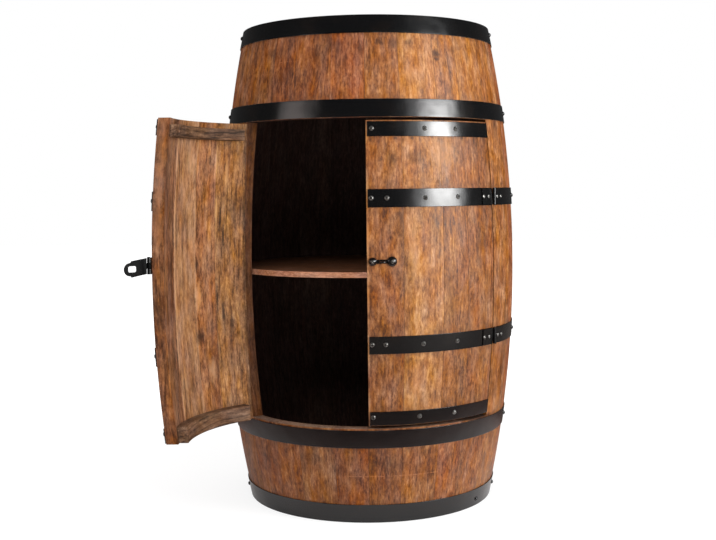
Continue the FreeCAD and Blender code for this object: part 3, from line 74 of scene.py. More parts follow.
# ------------------------------------------------------------------ mesh building
class Build:
    """Collects pieces of mesh with their attributes, and makes one object of them."""

    def __init__(self, name):
        self.name = name
        self.v, self.f, self.m = [], [], []
        self.a = {"grain": [], "rnd": [], "pith": [], "edge": [], "hoopd": []}
        self.n = 0

    def add(self, co, faces, mats, grain=None, rnd=(0, 0, 0), pith=(0, 0, 0), edge=None, hoopd=None):
        k = len(co)
        self.v.append(np.asarray(co, float))
        self.f += [[i + self.n for i in f] for f in faces]
        self.m += list(mats)
        self.a["grain"].append(np.zeros((k, 3)) if grain is None else np.asarray(grain, float))
        self.a["rnd"].append(np.tile(np.asarray(rnd, float), (k, 1)))
        self.a["pith"].append(np.tile(np.asarray(pith, float), (k, 1)))
        self.a["edge"].append(np.full(k, 50.0) if edge is None else np.asarray(edge, float))
        self.a["hoopd"].append(np.full(k, 100.0) if hoopd is None else np.asarray(hoopd, float))
        self.n += k

    def make(self, materials, body, replaces=()):
        co = np.concatenate(self.v) * 0.001
        me = bpy.data.meshes.new(self.name)
        me.from_pydata(co.tolist(), [], self.f)
        for mt in materials:
            me.materials.append(mt)
        me.polygons.foreach_set("material_index", np.array(self.m, np.int32))
        me.polygons.foreach_set("use_smooth", np.ones(len(self.f), bool))
        for key in ("grain", "rnd", "pith"):
            at = me.attributes.new(key, "FLOAT_VECTOR", "POINT")
            at.data.foreach_set("vector", np.concatenate(self.a[key]).astype(np.float32).ravel())
        for key in ("edge", "hoopd"):
            at = me.attributes.new(key, "FLOAT", "POINT")
            at.data.foreach_set("value", np.concatenate(self.a[key]).astype(np.float32))
        me.update()
        weighted_normals(me)
        ob = bpy.data.objects.new(self.name, me)
        scene.collection.objects.link(ob)
        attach(ob, body)
        if replaces:
            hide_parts(*replaces)
        return ob


def weighted_normals(me):
    """Vertex normals weighted by face area, so that a flat face stays flat up to its rounded edge."""
    nv, nf, nl = len(me.vertices), len(me.polygons), len(me.loops)
    fn = np.zeros(nf * 3, np.float32)
    me.polygons.foreach_get("normal", fn)
    fn = fn.reshape(-1, 3)
    ar = np.zeros(nf, np.float32)
    me.polygons.foreach_get("area", ar)
    lt = np.zeros(nf, np.int32)
    me.polygons.foreach_get("loop_total", lt)
    lv = np.zeros(nl, np.int32)
    me.loops.foreach_get("vertex_index", lv)
    fi = np.repeat(np.arange(nf), lt)
    acc = np.zeros((nv, 3))
    np.add.at(acc, lv, (fn * ar[:, None])[fi])
    ln = np.linalg.norm(acc, axis=1)
    ln[ln < 1e-20] = 1
    me.normals_split_custom_set_from_vertices((acc / ln[:, None]).tolist())


ENDS = [(0.71, 0.0), (0.29, 0.26), (0.05, 0.68), (0.0, 1.0)]   # inset and height along a rounded end, in radii


def plank(b, a0, a1, z0, z1, off_in, off_out, rb=0.6, zstep=12.0, astep=1.6, gap=0.0, door=None,
          mats=(0, 1, 2, 3), rnd=(0, 0, 0), pith=(0.1, -0.6, 0.03), seed=0, wave=0.0, closed=False,
          inner_rule=None, hoops=None, crown=0.0, flip=False):
    """A bent plank or band: azimuths a0 to a1, heights z0 to z1, offsets off_in to off_out, with
    rounded edges. mats are the material numbers of its outer, inner, side and end faces."""
    rg = random.Random(seed)
    ph = [rg.uniform(0, 6.28) for _ in range(6)]
    # stations along the height
    zs, ins = [], []
    for d, h in ENDS:
        zs.append(z0 + h * rb)
        ins.append(d * rb)
    n = max(1, int(round((z1 - z0 - 2 * rb) / zstep)))
    for k in range(1, n):
        zs.append(z0 + rb + (z1 - z0 - 2 * rb) * k / n)
        ins.append(0.0)
    for d, h in reversed(ENDS):
        zs.append(z1 - h * rb)
        ins.append(d * rb)
    zs, ins = np.array(zs), np.array(ins)
    # ring of the cross-section: t across, e mm from the edge, offset, and the corner it belongs to
    K = 3
    ring = []           # (t, e, off, centre_e, centre_off, kind)
    ncol = max(2, int(round(abs(a1 - a0) / astep)))

    def corner(t, s, oc, f0):
        ce = rb * s
        for k in range(K + 1):
            f = f0 - k / K * math.pi / 2
            ring.append((t, ce + rb * math.cos(f), oc + rb * math.sin(f), math.cos(f), math.sin(f), "c"))

    if closed:
        ts = [i / ncol for i in range(ncol)]
        # closed band: the section runs the other way, along the height
        return ring_band(b, z0, z1, off_in, off_out, rb, ncol, mats, rnd, seed, wave)
    corner(0, 1, off_out - rb, math.pi)
    cols = [(0, rb + 1.2), (0, rb + 3.0)] + [(i / ncol, 0.0) for i in range(1, ncol)] + [(1, -rb - 3.0), (1, -rb - 1.2)]
    for t, e in cols:
        ring.append((t, e, off_out, 0.0, 1.0, "o"))
    corner(1, -1, off_out - rb, math.pi / 2)
    corner(1, -1, off_in + rb, 0.0)
    for t, e in reversed(cols):
        ring.append((t, e, off_in, 0.0, -1.0, "i"))
    corner(0, 1, off_in + rb, -math.pi / 2)
    R = len(ring)
    t = np.array([r[0] for r in ring])
    e = np.array([r[1] for r in ring])
    o = np.array([r[2] for r in ring])
    ne = np.array([r[3] for r in ring])
    no = np.array([r[4] for r in ring])
    S = len(zs)
    Z = np.repeat(zs, R)
    D = np.repeat(ins, R)
    T, E, O, NE, NO = (np.tile(v, S) for v in (t, e, o, ne, no))
    Et = E - NE * D
    Ot = O - NO * D
    Et = Et + np.where(T < 0.5, gap, -gap) * (np.isin(T, (0.0, 1.0)))
    if wave:
        outer = (NO > 0.5)
        Ot = Ot - outer * wave * (1 + np.sin(Z / 83.0 + ph[0] + 3 * T) * 0.5 + np.sin(Z / 31.0 + ph[1] + 5 * T) * 0.35
                                  + np.sin(Z / 13.0 + ph[2]) * 0.15)
    if crown:
        Ot = Ot - crown * (2 * T - 1) ** 2 * (NO > 0.3)
    rr = surf(Z, O)
    az = a0 + (a1 - a0) * T + np.degrees(Et / rr) * (1 if a1 > a0 else -1)
    co = on_barrel(az, Z, Ot)
    if door == "left":
        co = to_left_door(co)
    faces, fm = [], []
    kinds = []
    for j in range(R):
        j2 = (j + 1) % R
        k1, k2 = ring[j][5], ring[j2][5]
        if "o" in (k1, k2):
            kinds.append(mats[0])
        elif "i" in (k1, k2):
            kinds.append(mats[1])
        elif k1 == "c" and k2 == "c":
            # within a corner arc, or a side between two corners
            same = abs(ring[j][3] - ring[j2][3]) > 1e-9 or abs(ring[j][4] - ring[j2][4]) > 1e-9
            outer_corner = ring[j][4] > -0.01 and ring[j2][4] > -0.01
            kinds.append((mats[0] if outer_corner else mats[1]) if same else mats[2])
    turn = (a1 > a0) != flip
    for i in range(S - 1):
        for j in range(R):
            j2 = (j + 1) % R
            q = [i * R + j, i * R + j2, (i + 1) * R + j2, (i + 1) * R + j]
            if not turn:
                q.reverse()
            kd = kinds[j]
            if inner_rule is not None and kd == mats[1] and inner_rule((zs[i] + zs[i + 1]) / 2):
                kd = mats[0]
            faces.append(q)
            fm.append(kd)
    # caps: quads between the outer and inner rows, each end with its corners as one polygon
    nc = len(cols)
    first_o = K + 1
    first_i = first_o + nc + 2 * (K + 1)
    for base, up in ((0, False), ((S - 1) * R, True)):
        caps = []
        for k in range(nc - 1):
            caps.append([first_o + k, first_o + k + 1, first_i + nc - 2 - k, first_i + nc - 1 - k])
        # left end: inner column 0, inner corner, outer corner, outer column 0
        caps.append([first_i + nc - 1] + list(range(first_i + nc, R)) + list(range(0, first_o)) + [first_o])
        # right end
        caps.append(list(range(first_o + nc - 1, first_i + 1)))
        for c in caps:
            c = [base + x for x in c]
            if up == turn:
                pass
            else:
                c.reverse()
            faces.append(c if not up or True else c)
            fm.append(mats[3])
    span = (a1 - a0)
    u = (T - 0.5) * math.radians(span) * 240.0 + np.where(T < 0.5, 1, -1) * np.where(np.isin(T, (0.0, 1.0)), E, 0) * 0
    u = np.radians(az - (a0 + a1) / 2) * 240.0
    grain = np.stack([u / 100.0, Ot / 100.0, Z / 100.0], -1) + np.array([seed * 1.37 % 7, seed * 0.73 % 5, seed * 2.91 % 11])
    edge = np.minimum(np.abs(az - a0), np.abs(az - a1)) * math.pi / 180 * rr
    hd = np.full(len(Z), 100.0)
    if hoops:
        for lo, hi in hoops:
            hd = np.minimum(hd, np.where(Z > hi, (Z - hi) * 2.2, np.where(Z < lo, lo - Z, 0.0)))
    b.add(co, faces, fm, grain, rnd, pith_shift(pith, seed), edge, hd)


def pith_shift(pith, seed):
    """The pith's place in the grain's own coordinates, and its slant."""
    return (pith[0] + seed * 1.37 % 7, pith[1] + seed * 0.73 % 5, pith[2])


def ring_band(b, z0, z1, off_in, off_out, rb, ncol, mats, rnd, seed, wave=0.0):
    """A closed band round the barrel with rounded edges."""
    K = 3
    sec = []
    for cz, co_, f0 in ((z1 - rb, off_out - rb, 0.0), (z1 - rb, off_in + rb, math.pi / 2),
                        (z0 + rb, off_in + rb, math.pi), (z0 + rb, off_out - rb, 1.5 * math.pi)):
        for k in range(K + 1):
            f = f0 + k / K * math.pi / 2
            sec.append((cz + rb * math.sin(f), co_ + rb * math.cos(f)))
    # middle points on the outer face
    nmid = max(1, int((z1 - z0) / 4))
    mids = [(z0 + rb + (z1 - z0 - 2 * rb) * k / (nmid + 1), off_out) for k in range(1, nmid + 1)]
    sec = sec + mids
    R = len(sec)
    z = np.array([s[0] for s in sec])
    o = np.array([s[1] for s in sec])
    az = np.arange(ncol) * 360.0 / ncol
    Z, O = np.tile(z, ncol), np.tile(o, ncol)
    A = np.repeat(az, R)
    co = on_barrel(A, Z, O)
    faces, fm = [], []
    for i in range(ncol):
        i2 = (i + 1) % ncol
        for j in range(R):
            j2 = (j + 1) % R
            faces.append([i * R + j, i * R + j2, i2 * R + j2, i2 * R + j])
            fm.append(mats[0])
    grain = np.stack([np.radians(A) * 2.4, O / 100.0, Z / 100.0], -1)
    edge = np.minimum(np.abs(Z - z0), np.abs(Z - z1))
    b.add(co, faces, fm, grain, rnd, (0, 0, 0), edge, None)


# ------------------------------------------------------------------ node helper
class Tree:
    def __init__(self, name):
        self.mat = bpy.data.materials.new(name)
        self.mat.use_nodes = True
        self.t = self.mat.node_tree
        self.t.nodes.clear()
        self.out = self.t.nodes.new("ShaderNodeOutputMaterial")
        self.p = self.t.nodes.new("ShaderNodeBsdfPrincipled")
        self.t.links.new(self.p.outputs[0], self.out.inputs[0])

    def put(self, sock, v):
        if isinstance(v, bpy.types.NodeSocket):
            self.t.links.new(v, sock)
        elif v is not None:
            sock.default_value = v

    def attr(self, name, out="Vector"):
        n = self.t.nodes.new("ShaderNodeAttribute")
        n.attribute_name = name
        return n.outputs[out]

    def coord(self):
        return self.t.nodes.new("ShaderNodeTexCoord").outputs["Object"]

    def m(self, op, a, b=None, c=None, clamp=False):
        n = self.t.nodes.new("ShaderNodeMath")
        n.operation = op
        n.use_clamp = clamp
        for i, v in enumerate((a, b, c)):
            if v is not None:
                self.put(n.inputs[i], v)
        return n.outputs[0]

    def vm(self, op, a, b=None):
        n = self.t.nodes.new("ShaderNodeVectorMath")
        n.operation = op
        self.put(n.inputs[0], a)
        if b is not None:
            self.put(n.inputs[1], b)
        return n.outputs["Value"] if op in ("LENGTH", "DISTANCE", "DOT_PRODUCT") else n.outputs[0]

    def xyz(self, v):
        n = self.t.nodes.new("ShaderNodeSeparateXYZ")
        self.put(n.inputs[0], v)
        return n.outputs[0], n.outputs[1], n.outputs[2]

    def comb(self, x, y, z):
        n = self.t.nodes.new("ShaderNodeCombineXYZ")
        for s, v in zip(n.inputs, (x, y, z)):
            self.put(s, v)
        return n.outputs[0]

    def noise(self, vec, scale, detail=3.0, rough=0.55, dist=0.0, color=False):
        n = self.t.nodes.new("ShaderNodeTexNoise")
        self.put(n.inputs["Vector"], vec)
        self.put(n.inputs["Scale"], scale)
        self.put(n.inputs["Detail"], detail)
        self.put(n.inputs["Roughness"], rough)
        self.put(n.inputs["Distortion"], dist)
        return n.outputs["Color"] if color else n.outputs["Fac"]

    def voronoi(self, vec, scale, feature="F1", out="Distance", rand=1.0):
        n = self.t.nodes.new("ShaderNodeTexVoronoi")
        n.feature = feature
        self.put(n.inputs["Vector"], vec)
        self.put(n.inputs["Scale"], scale)
        self.put(n.inputs["Randomness"], rand)
        return n.outputs[out]

    def ramp(self, fac, stops, interp="LINEAR"):
        n = self.t.nodes.new("ShaderNodeValToRGB")
        n.color_ramp.interpolation = interp
        el = n.color_ramp.elements
        while len(el) < len(stops):
            el.new(0.5)
        for q, (pos, c) in zip(el, stops):
            q.position = pos
            q.color = (*c, 1.0) if hasattr(c, "__len__") else (c, c, c, 1.0)
        self.put(n.inputs[0], fac)
        return n.outputs[0]

    def rng(self, v, a, b, c=0.0, d=1.0, smooth=True):
        n = self.t.nodes.new("ShaderNodeMapRange")
        n.interpolation_type = "SMOOTHSTEP" if smooth else "LINEAR"
        n.clamp = True
        self.put(n.inputs[0], v)
        for i, x in enumerate((a, b, c, d)):
            n.inputs[i + 1].default_value = x
        return n.outputs[0]

    def mix(self, fac, a, b, blend="MIX"):
        n = self.t.nodes.new("ShaderNodeMix")
        n.data_type = "RGBA"
        n.blend_type = blend
        self.put(n.inputs[0], fac)
        self.put(n.inputs[6], (*a, 1.0) if isinstance(a, tuple) else a)
        self.put(n.inputs[7], (*b, 1.0) if isinstance(b, tuple) else b)
        return n.outputs[2]

    def hsv(self, col, h=0.5, s=1.0, v=1.0):
        n = self.t.nodes.new("ShaderNodeHueSaturation")
        self.put(n.inputs["Hue"], h)
        self.put(n.inputs["Saturation"], s)
        self.put(n.inputs["Value"], v)
        self.put(n.inputs["Color"], col)
        return n.outputs[0]

    def bump(self, height, strength, dist, normal=None):
        n = self.t.nodes.new("ShaderNodeBump")
        n.inputs["Strength"].default_value = strength
        n.inputs["Distance"].default_value = dist
        self.put(n.inputs["Height"], height)
        if normal is not None:
            self.put(n.inputs["Normal"], normal)
        return n.outputs[0]


def wood(name, tones, rough=0.50, contrast=1.0, fig=1.0, rings=1.0, stain=1.0, spec=0.30, marks=(), lines=(), seam=0.30,
         bump=0.45, sat=1.06, hue=0.0):
    """Solid wood: long grain streaks, mottled figure from broad to fine, growth rings about a pith,
    pores and stain. Coordinates are the piece's own: across, deep and along the grain, in decimetres."""
    T = Tree(name)
    G = T.attr("grain")
    rnd = T.attr("rnd")
    rx, ry, rz = T.xyz(rnd)
    px, py, pz = T.xyz(T.attr("pith"))
    wob = T.vm("SUBTRACT", T.noise(T.vm("MULTIPLY", G, (1.0, 1.0, 0.30)), 1.7, 2.0, 0.5, color=True), (0.5, 0.5, 0.5))
    G2 = T.vm("ADD", G, T.vm("MULTIPLY", wob, (0.20, 0.20, 0.0)))
    gx, gy, gz = T.xyz(G2)

    def stretched(k):
        return T.vm("MULTIPLY", G2, (1.0, 1.0, k))
    # growth rings
    du = T.m("SUBTRACT", gx, T.m("ADD", px, T.m("MULTIPLY", T.m("SINE", T.m("MULTIPLY", gz, 0.7)), 0.06)))
    dw = T.m("SUBTRACT", gy, T.m("SUBTRACT", py, T.m("MULTIPLY", pz, gz)))
    rad = T.m("SQRT", T.m("ADD", T.m("MULTIPLY", du, du), T.m("MULTIPLY", dw, dw)))
    fine = T.noise(stretched(0.20), 9.0, 2.0, 0.5)
    rr = T.m("FRACT", T.m("ADD", T.m("MULTIPLY", rad, 12.0), T.m("MULTIPLY", fine, 1.2)))
    late = T.m("MULTIPLY", T.rng(rr, 0.50, 0.93), T.rng(rr, 1.0, 0.95))
    layers = [
        (T.noise(T.vm("MULTIPLY", G, (1.0, 1.0, 0.55)), 1.5, 1.0, 0.6), 0.30),
        (T.noise(T.vm("MULTIPLY", G, (1.0, 1.0, 0.50)), 3.6, 1.0, 0.6), 0.34),
        (T.noise(stretched(0.070), 10.5, 3.0, 0.70), 0.52),
        (T.noise(stretched(0.48), 7.5, 4.0, 0.74, dist=0.5), 0.88 * fig),
        (T.noise(stretched(0.08), 40.0, 1.0, 0.6), 0.50),
        (T.noise(stretched(0.36), 27.0, 2.0, 0.80), 1.32 * fig),
    ]
    tone = T.m("ADD", 0.5, rx)
    for n, wt in layers:
        tone = T.m("ADD", tone, T.m("MULTIPLY", T.m("SUBTRACT", n, 0.5), wt * contrast))
    tone = T.m("SUBTRACT", tone, T.m("MULTIPLY", late, 0.12 * rings), clamp=True)
    figure, fibre = layers[3][0], layers[4][0]
    d, m1, m2, l1, l2 = tones
    colr = T.ramp(tone, [(0.0, d), (0.27, m1), (0.5, m2), (0.74, l1), (1.0, l2)])
    # pores: short dark dashes along the grain
    por = T.noise(stretched(0.20), 58.0, 1.0, 0.4)
    por2 = T.noise(T.vm("MULTIPLY", G, (1.0, 1.0, 0.45)), 7.0, 2.0, 0.5)
    pores = T.m("MULTIPLY", T.rng(por, 0.60, 0.70), T.rng(por2, 0.36, 0.62, 0.10, 1.0))
    colr = T.mix(T.m("MULTIPLY", pores, 0.34 * fig), colr, tuple(0.7 * x for x in d))
    # dark stain that gathered in soft patches and below the hoops, with darker specks in it
    patch = T.rng(T.noise(T.vm("MULTIPLY", G, (1.0, 1.0, 0.80)), 3.0, 4.0, 0.68), 0.565, 0.80)
    hoopd = T.attr("hoopd", "Fac")
    near = T.m("MULTIPLY", T.rng(hoopd, 48.0, 2.0, 0.0, 1.0), T.rng(T.noise(G, 5.0, 4.0, 0.66), 0.44, 0.72))
    speck = T.rng(T.noise(T.vm("MULTIPLY", G, (1.0, 1.0, 0.7)), 30.0, 2.0, 0.6), 0.50, 0.72, 0.55, 1.0)
    dark = T.m("MULTIPLY", T.m("MULTIPLY", T.m("MAXIMUM", T.m("MULTIPLY", patch, 0.62), T.m("MULTIPLY", near, 0.80)), speck), stain, clamp=True)
    colr = T.mix(dark, colr, (0.86 * d[0], 0.98 * d[1], 1.10 * d[2]))
    if seam:
        ed = T.m("ADD", T.attr("edge", "Fac"), T.m("MULTIPLY", T.m("SUBTRACT", T.noise(G, 9.0, 3.0, 0.6), 0.5), 2.4))
        colr = T.mix(T.rng(ed, 1.0, 0.1, 0.0, seam), colr, tuple(0.6 * x for x in d))
    if marks or lines:
        P = T.coord()
        wobble = T.m("MULTIPLY", T.m("SUBTRACT", T.noise(G2, 14.0, 3.0, 0.6), 0.5), 1.3)
        for (x, y, z), (wx, wz), amt, light in marks:
            q = T.vm("MULTIPLY", T.vm("SUBTRACT", P, (x, y, z)), (1.0 / wx, 1.0 / wx, 1.0 / wz))
            ln = T.m("ADD", T.vm("LENGTH", q), wobble)
            colr = T.mix(T.rng(ln, 1.15, 0.20, 0.0, amt), colr, l2 if light else tuple(0.55 * v for v in d))
        for z, x0, x1, amt in lines:
            X, Y, Z = T.xyz(P)
            off = T.m("ABSOLUTE", T.m("SUBTRACT", T.m("ADD", Z, T.m("MULTIPLY", wobble, 0.0006)), z))
            on = T.m("MULTIPLY", T.rng(off, 0.0011, 0.0003), T.m("MULTIPLY", T.rng(X, x0, x0 + 0.01), T.rng(X, x1, x1 - 0.01)))
            on = T.m("MULTIPLY", on, T.rng(T.noise(G, 20.0, 2.0, 0.6), 0.36, 0.60))
            colr = T.mix(T.m("MULTIPLY", on, amt), colr, (l2[0] * 0.95, l2[1] * 0.85, l2[2] * 0.9))
    huen = T.noise(T.vm("MULTIPLY", G, (1.0, 1.0, 0.40)), 4.2, 2.0, 0.6)
    satn = T.noise(T.vm("MULTIPLY", G, (1.0, 1.0, 0.35)), 6.1, 2.0, 0.6)
    colr = T.hsv(colr, T.m("ADD", T.m("ADD", 0.5 + hue, ry), T.m("ADD", T.m("MULTIPLY", T.m("SUBTRACT", huen, 0.5), 0.022), 0.0008)),
                 T.m("MULTIPLY", sat, T.m("ADD", 1.0, T.m("MULTIPLY", T.m("SUBTRACT", satn, 0.5), 0.55))), T.m("ADD", 1.0, rz))
    T.put(T.p.inputs["Base Color"], colr)
    rgh = T.m("ADD", rough, T.m("ADD", T.m("MULTIPLY", T.m("SUBTRACT", figure, 0.5), 0.25), T.m("MULTIPLY", pores, 0.18)))
    T.put(T.p.inputs["Roughness"], rgh)
    T.p.inputs["Specular IOR Level"].default_value = spec
    h = T.m("ADD", T.m("MULTIPLY", fibre, 0.5), T.m("MULTIPLY", figure, 0.35))
    h = T.m("SUBTRACT", h, T.m("MULTIPLY", pores, 0.5))
    h = T.m("SUBTRACT", h, T.m("MULTIPLY", late, 0.10))
    T.put(T.p.inputs["Normal"], T.bump(h, bump, 0.0006))
    return T.mat


def steel(name, base=(0.0018, 0.0018, 0.0020), rough=0.19, wear=0.25, tint=(0.0036, 0.0024, 0.0020), recess=False, spec=0.56, metallic=0.0):
    """Black satin steel: uneven gloss, fine orange peel, slow waviness and rubbed edges."""
    T = Tree(name)
    P = T.coord()
    n1 = T.noise(P, 22.0, 4.0, 0.6)
    n2 = T.noise(P, 140.0, 3.0, 0.6)
    n3 = T.noise(P, 900.0, 2.0, 0.5)
    colr = T.mix(T.rng(n1, 0.42, 0.72), base, tint)
    colr = T.mix(T.rng(n2, 0.60, 0.80, 0.0, 0.5), colr, tuple(0.45 * v for v in base))
    ed = T.m("ADD", T.attr("edge", "Fac"), T.m("MULTIPLY", T.m("SUBTRACT", n2, 0.5), 1.4))
    worn = T.m("MULTIPLY", T.rng(ed, 0.75, 0.25), T.rng(n1, 0.40, 0.62))
    worn = T.m("MULTIPLY", worn, wear)
    scr = T.noise(T.vm("MULTIPLY", P, (1.0, 1.0, 9.0)), 60.0, 4.0, 0.7)
    colr = T.mix(worn, colr, (0.16, 0.155, 0.15))
    metal = T.m("MAXIMUM", T.m("MULTIPLY", worn, 0.8), metallic)
    if recess:                          # painted shade: the recess of a screw is coloured near black
        inside = T.m("MULTIPLY", T.rng(T.attr("edge", "Fac"), 30.0, 5.0), T.rng(n2, 0.30, 0.60, 0.65, 1.0))
        colr = T.mix(inside, colr, (0.012, 0.011, 0.010))
    T.put(T.p.inputs["Base Color"], colr)
    T.put(T.p.inputs["Metallic"], metal)
    rgh = T.m("ADD", rough, T.m("ADD", T.m("MULTIPLY", T.m("SUBTRACT", n1, 0.5), 0.12), T.m("MULTIPLY", T.m("SUBTRACT", scr, 0.5), 0.06)))
    T.put(T.p.inputs["Roughness"], rgh)
    T.p.inputs["IOR"].default_value = 1.52
    T.p.inputs["Specular IOR Level"].default_value = spec
    b1 = T.bump(T.noise(P, 16.0, 2.0, 0.5), 0.35, 0.0035)
    b2 = T.bump(T.m("ADD", T.m("MULTIPLY", n2, 0.6), T.m("MULTIPLY", n3, 0.20)), 0.028, 0.0006, b1)
    brushed = T.noise(T.vm("MULTIPLY", P, (1.0, 1.0, 0.08)), 150.0, 3.0, 0.65)
    T.put(T.p.inputs["Normal"], T.bump(brushed, 0.07, 0.0006, b2))
    return T.mat


# ------------------------------------------------------------------ materials
STAIN = ((0.050, 0.0172, 0.0082), (0.122, 0.0420, 0.0150), (0.196, 0.0735, 0.0270), (0.280, 0.1180, 0.0480), (0.385, 0.1900, 0.0890))
INNER = ((0.046, 0.0175, 0.0078), (0.122, 0.0490, 0.0205), (0.222, 0.0960, 0.0415), (0.330, 0.1560, 0.0710), (0.455, 0.2450, 0.1240))
EDGE = ((0.026, 0.0100, 0.0050), (0.085, 0.0330, 0.0145), (0.170, 0.0700, 0.0310), (0.280, 0.1280, 0.0600), (0.430, 0.2200, 0.1150))
JAMB = ((0.020, 0.0075, 0.0038), (0.055, 0.0200, 0.0085), (0.105, 0.0395, 0.0165), (0.175, 0.0700, 0.0310), (0.270, 0.1200, 0.0560))
BLACK = ((0.0240, 0.0140, 0.0115), (0.0380, 0.0220, 0.0180), (0.0540, 0.0310, 0.0255), (0.0740, 0.0440, 0.0360), (0.0980, 0.0600, 0.0500))
BATTEN = ((0.022, 0.0120, 0.0075), (0.052, 0.0275, 0.0165), (0.085, 0.0460, 0.0280), (0.130, 0.0740, 0.0460), (0.195, 0.1180, 0.0770))
PALE = ((0.060, 0.0330, 0.0220), (0.130, 0.0760, 0.0520), (0.205, 0.1280, 0.0900), (0.280, 0.1850, 0.1350), (0.360, 0.2500, 0.1900))
# painted light and shade: the shelf's top takes darker tones than its front edge, a shaded and a lit copy of the same
# wood
SHADED_TOP_TONES = ((0.034, 0.0150, 0.0085), (0.072, 0.0320, 0.0180), (0.115, 0.0520, 0.0300), (0.165, 0.0770, 0.0460), (0.225, 0.1120, 0.0700))
LIT_RIM_TONES = ((0.160, 0.0700, 0.0400), (0.290, 0.1350, 0.0820), (0.410, 0.1950, 0.1220), (0.520, 0.2650, 0.1720), (0.630, 0.3500, 0.2400))

BARREL_MARKS = [
    ((0.1122, -0.1907, 0.7406), (0.0085, 0.0100), 0.85, False), ((0.1127, -0.1922, 0.7322), (0.0050, 0.0035), 0.80, False),
    ((0.0228, -0.2169, 0.7577), (0.0085, 0.0075), 0.65, False), ((-0.0067, -0.2199, 0.7475), (0.0050, 0.0080), 0.55, False),
    ((-0.0452, -0.2145, 0.7518), (0.0200, 0.0120), 0.35, False), ((-0.1387, -0.1711, 0.7462), (0.0230, 0.0120), 0.40, False),
    ((0.0446, -0.2140, 0.7552), (0.0100, 0.0110), 0.45, False), ((0.0695, -0.2068, 0.7573), (0.0100, 0.0060), 0.45, False),
    ((-0.1318, -0.1823, 0.7100), (0.0260, 0.0200), 0.30, False), ((0.1383, -0.1705, 0.7502), (0.0090, 0.0090), 0.35, False),
    ((-0.0700, -0.2100, 0.7300), (0.0110, 0.0260), 0.28, False), ((0.0640, -0.2100, 0.7050), (0.0130, 0.0300), 0.45, True),
    ((-0.0908, -0.2067, 0.1050), (0.0260, 0.0160), 0.38, False), ((-0.0457, -0.2200, 0.0900), (0.0180, 0.0150), 0.38, False),
    ((0.0414, -0.2225, 0.0980), (0.0300, 0.0180), 0.35, False), ((0.0974, -0.2000, 0.0760), (0.0070, 0.0100), 0.60, False),
    ((-0.1630, -0.1564, 0.0959), (0.0200, 0.0200), 0.35, False), ((0.1740, -0.1500, 0.1560), (0.0560, 0.0045), 0.90, False)]
BARREL_LINES = [(0.0785, -0.038, 0.115, 0.55), (0.7365, 0.058, 0.100, 0.50), (0.7320, -0.142, -0.094, 0.45)]
DOOR_MARKS = [
    ((0.0408, -0.2403, 0.5776), (0.0120, 0.0130), 0.50, False), ((0.0735, -0.2322, 0.5794), (0.0150, 0.0150), 0.45, False),
    ((0.0720, -0.2294, 0.6090), (0.0045, 0.0035), 0.75, False), ((0.0468, -0.2358, 0.6085), (0.0040, 0.0035), 0.70, False),
    ((0.1505, -0.1873, 0.6105), (0.0045, 0.0040), 0.60, False), ((0.0560, -0.2470, 0.4680), (0.0090, 0.0450), 0.35, False),
    ((0.1070, -0.2257, 0.4800), (0.0110, 0.0500), 0.30, False), ((0.1776, -0.1774, 0.4400), (0.0080, 0.0550), 0.35, False),
    ((0.0730, -0.2380, 0.4400), (0.0110, 0.0600), 0.30, True), ((0.0780, -0.2350, 0.2250), (0.0110, 0.0500), 0.30, True),
    ((0.1300, -0.2148, 0.3550), (0.0100, 0.0400), 0.22, False), ((0.1220, -0.2120, 0.5850), (0.0300, 0.0360), 0.38, True)]
INSIDE_MARKS = []


def inside_mark(az, z, width, height, amount, light=False):
    """A mark on the inner face of the left door, given where it lies with the door closed."""
    p = to_left_door(on_barrel(az, z, -18.0)) * 0.001
    INSIDE_MARKS.append(((float(p[0]), float(p[1]), float(p[2])), (width, height), amount, light))


# painted highlights along the first two seams of the left door's inner face (-13.3 and -28.7 degrees), and painted
# shade down its hinge-side edge (-54.2 degrees), in the corner by the barrel
for zz_ in (205.0, 300.0, 395.0, 490.0, 585.0):
    inside_mark(-13.3, zz_, 0.0042, 0.0700, 0.62, True)
    inside_mark(-28.7, zz_, 0.0030, 0.0700, 0.42, True)
    inside_mark(-54.2, zz_, 0.0062, 0.0760, 0.62)
# the first two marks paint a highlight along the third seam (-39.9 degrees); the others are light and dark figure
for mark in ((-39.8, 575.0, 0.0034, 0.0620, 0.85, True), (-40.5, 500.0, 0.0030, 0.0360, 0.70, True), (-23.9, 578.0, 0.0120, 0.0340, 0.45, True),
             (-30.1, 367.0, 0.0110, 0.0260, 0.70, True), (-36.0, 250.0, 0.0100, 0.0240, 0.55, True), (-30.0, 305.0, 0.0125, 0.0150, 0.85, False),
             (-29.7, 417.0, 0.0045, 0.0120, 0.85, False), (-42.6, 490.0, 0.0028, 0.0260, 0.90, False), (-44.1, 458.0, 0.0028, 0.0240, 0.90, False),
             (-40.6, 364.0, 0.0036, 0.0240, 0.90, False), (-43.5, 340.0, 0.0040, 0.0200, 0.85, False), (-47.4, 318.0, 0.0060, 0.0200, 0.70, False),
             (-36.4, 579.0, 0.0055, 0.0110, 0.60, False), (-50.0, 516.0, 0.0060, 0.0600, 0.30, False), (-22.0, 235.0, 0.0080, 0.0200, 0.40, False),
             (-36.0, 300.0, 0.0200, 0.0650, 0.26, False), (-46.0, 285.0, 0.0160, 0.0700, 0.24, False), (-45.5, 560.0, 0.0040, 0.0500, 0.45, True)):
    inside_mark(*mark)
for zz_ in (195.0, 280.0, 365.0, 450.0, 535.0, 620.0):      # light strips down the free edge of the right door
    DOOR_MARKS.append(((0.0022, -0.001 * float(surf(zz_)), zz_ * 0.001), (0.0030, 0.0620), 0.60, True))
m_barrel = wood("barrel_wood_stained", STAIN, marks=BARREL_MARKS, lines=BARREL_LINES, hue=-0.0025)
m_door = wood("door_wood_stained", STAIN, marks=DOOR_MARKS)
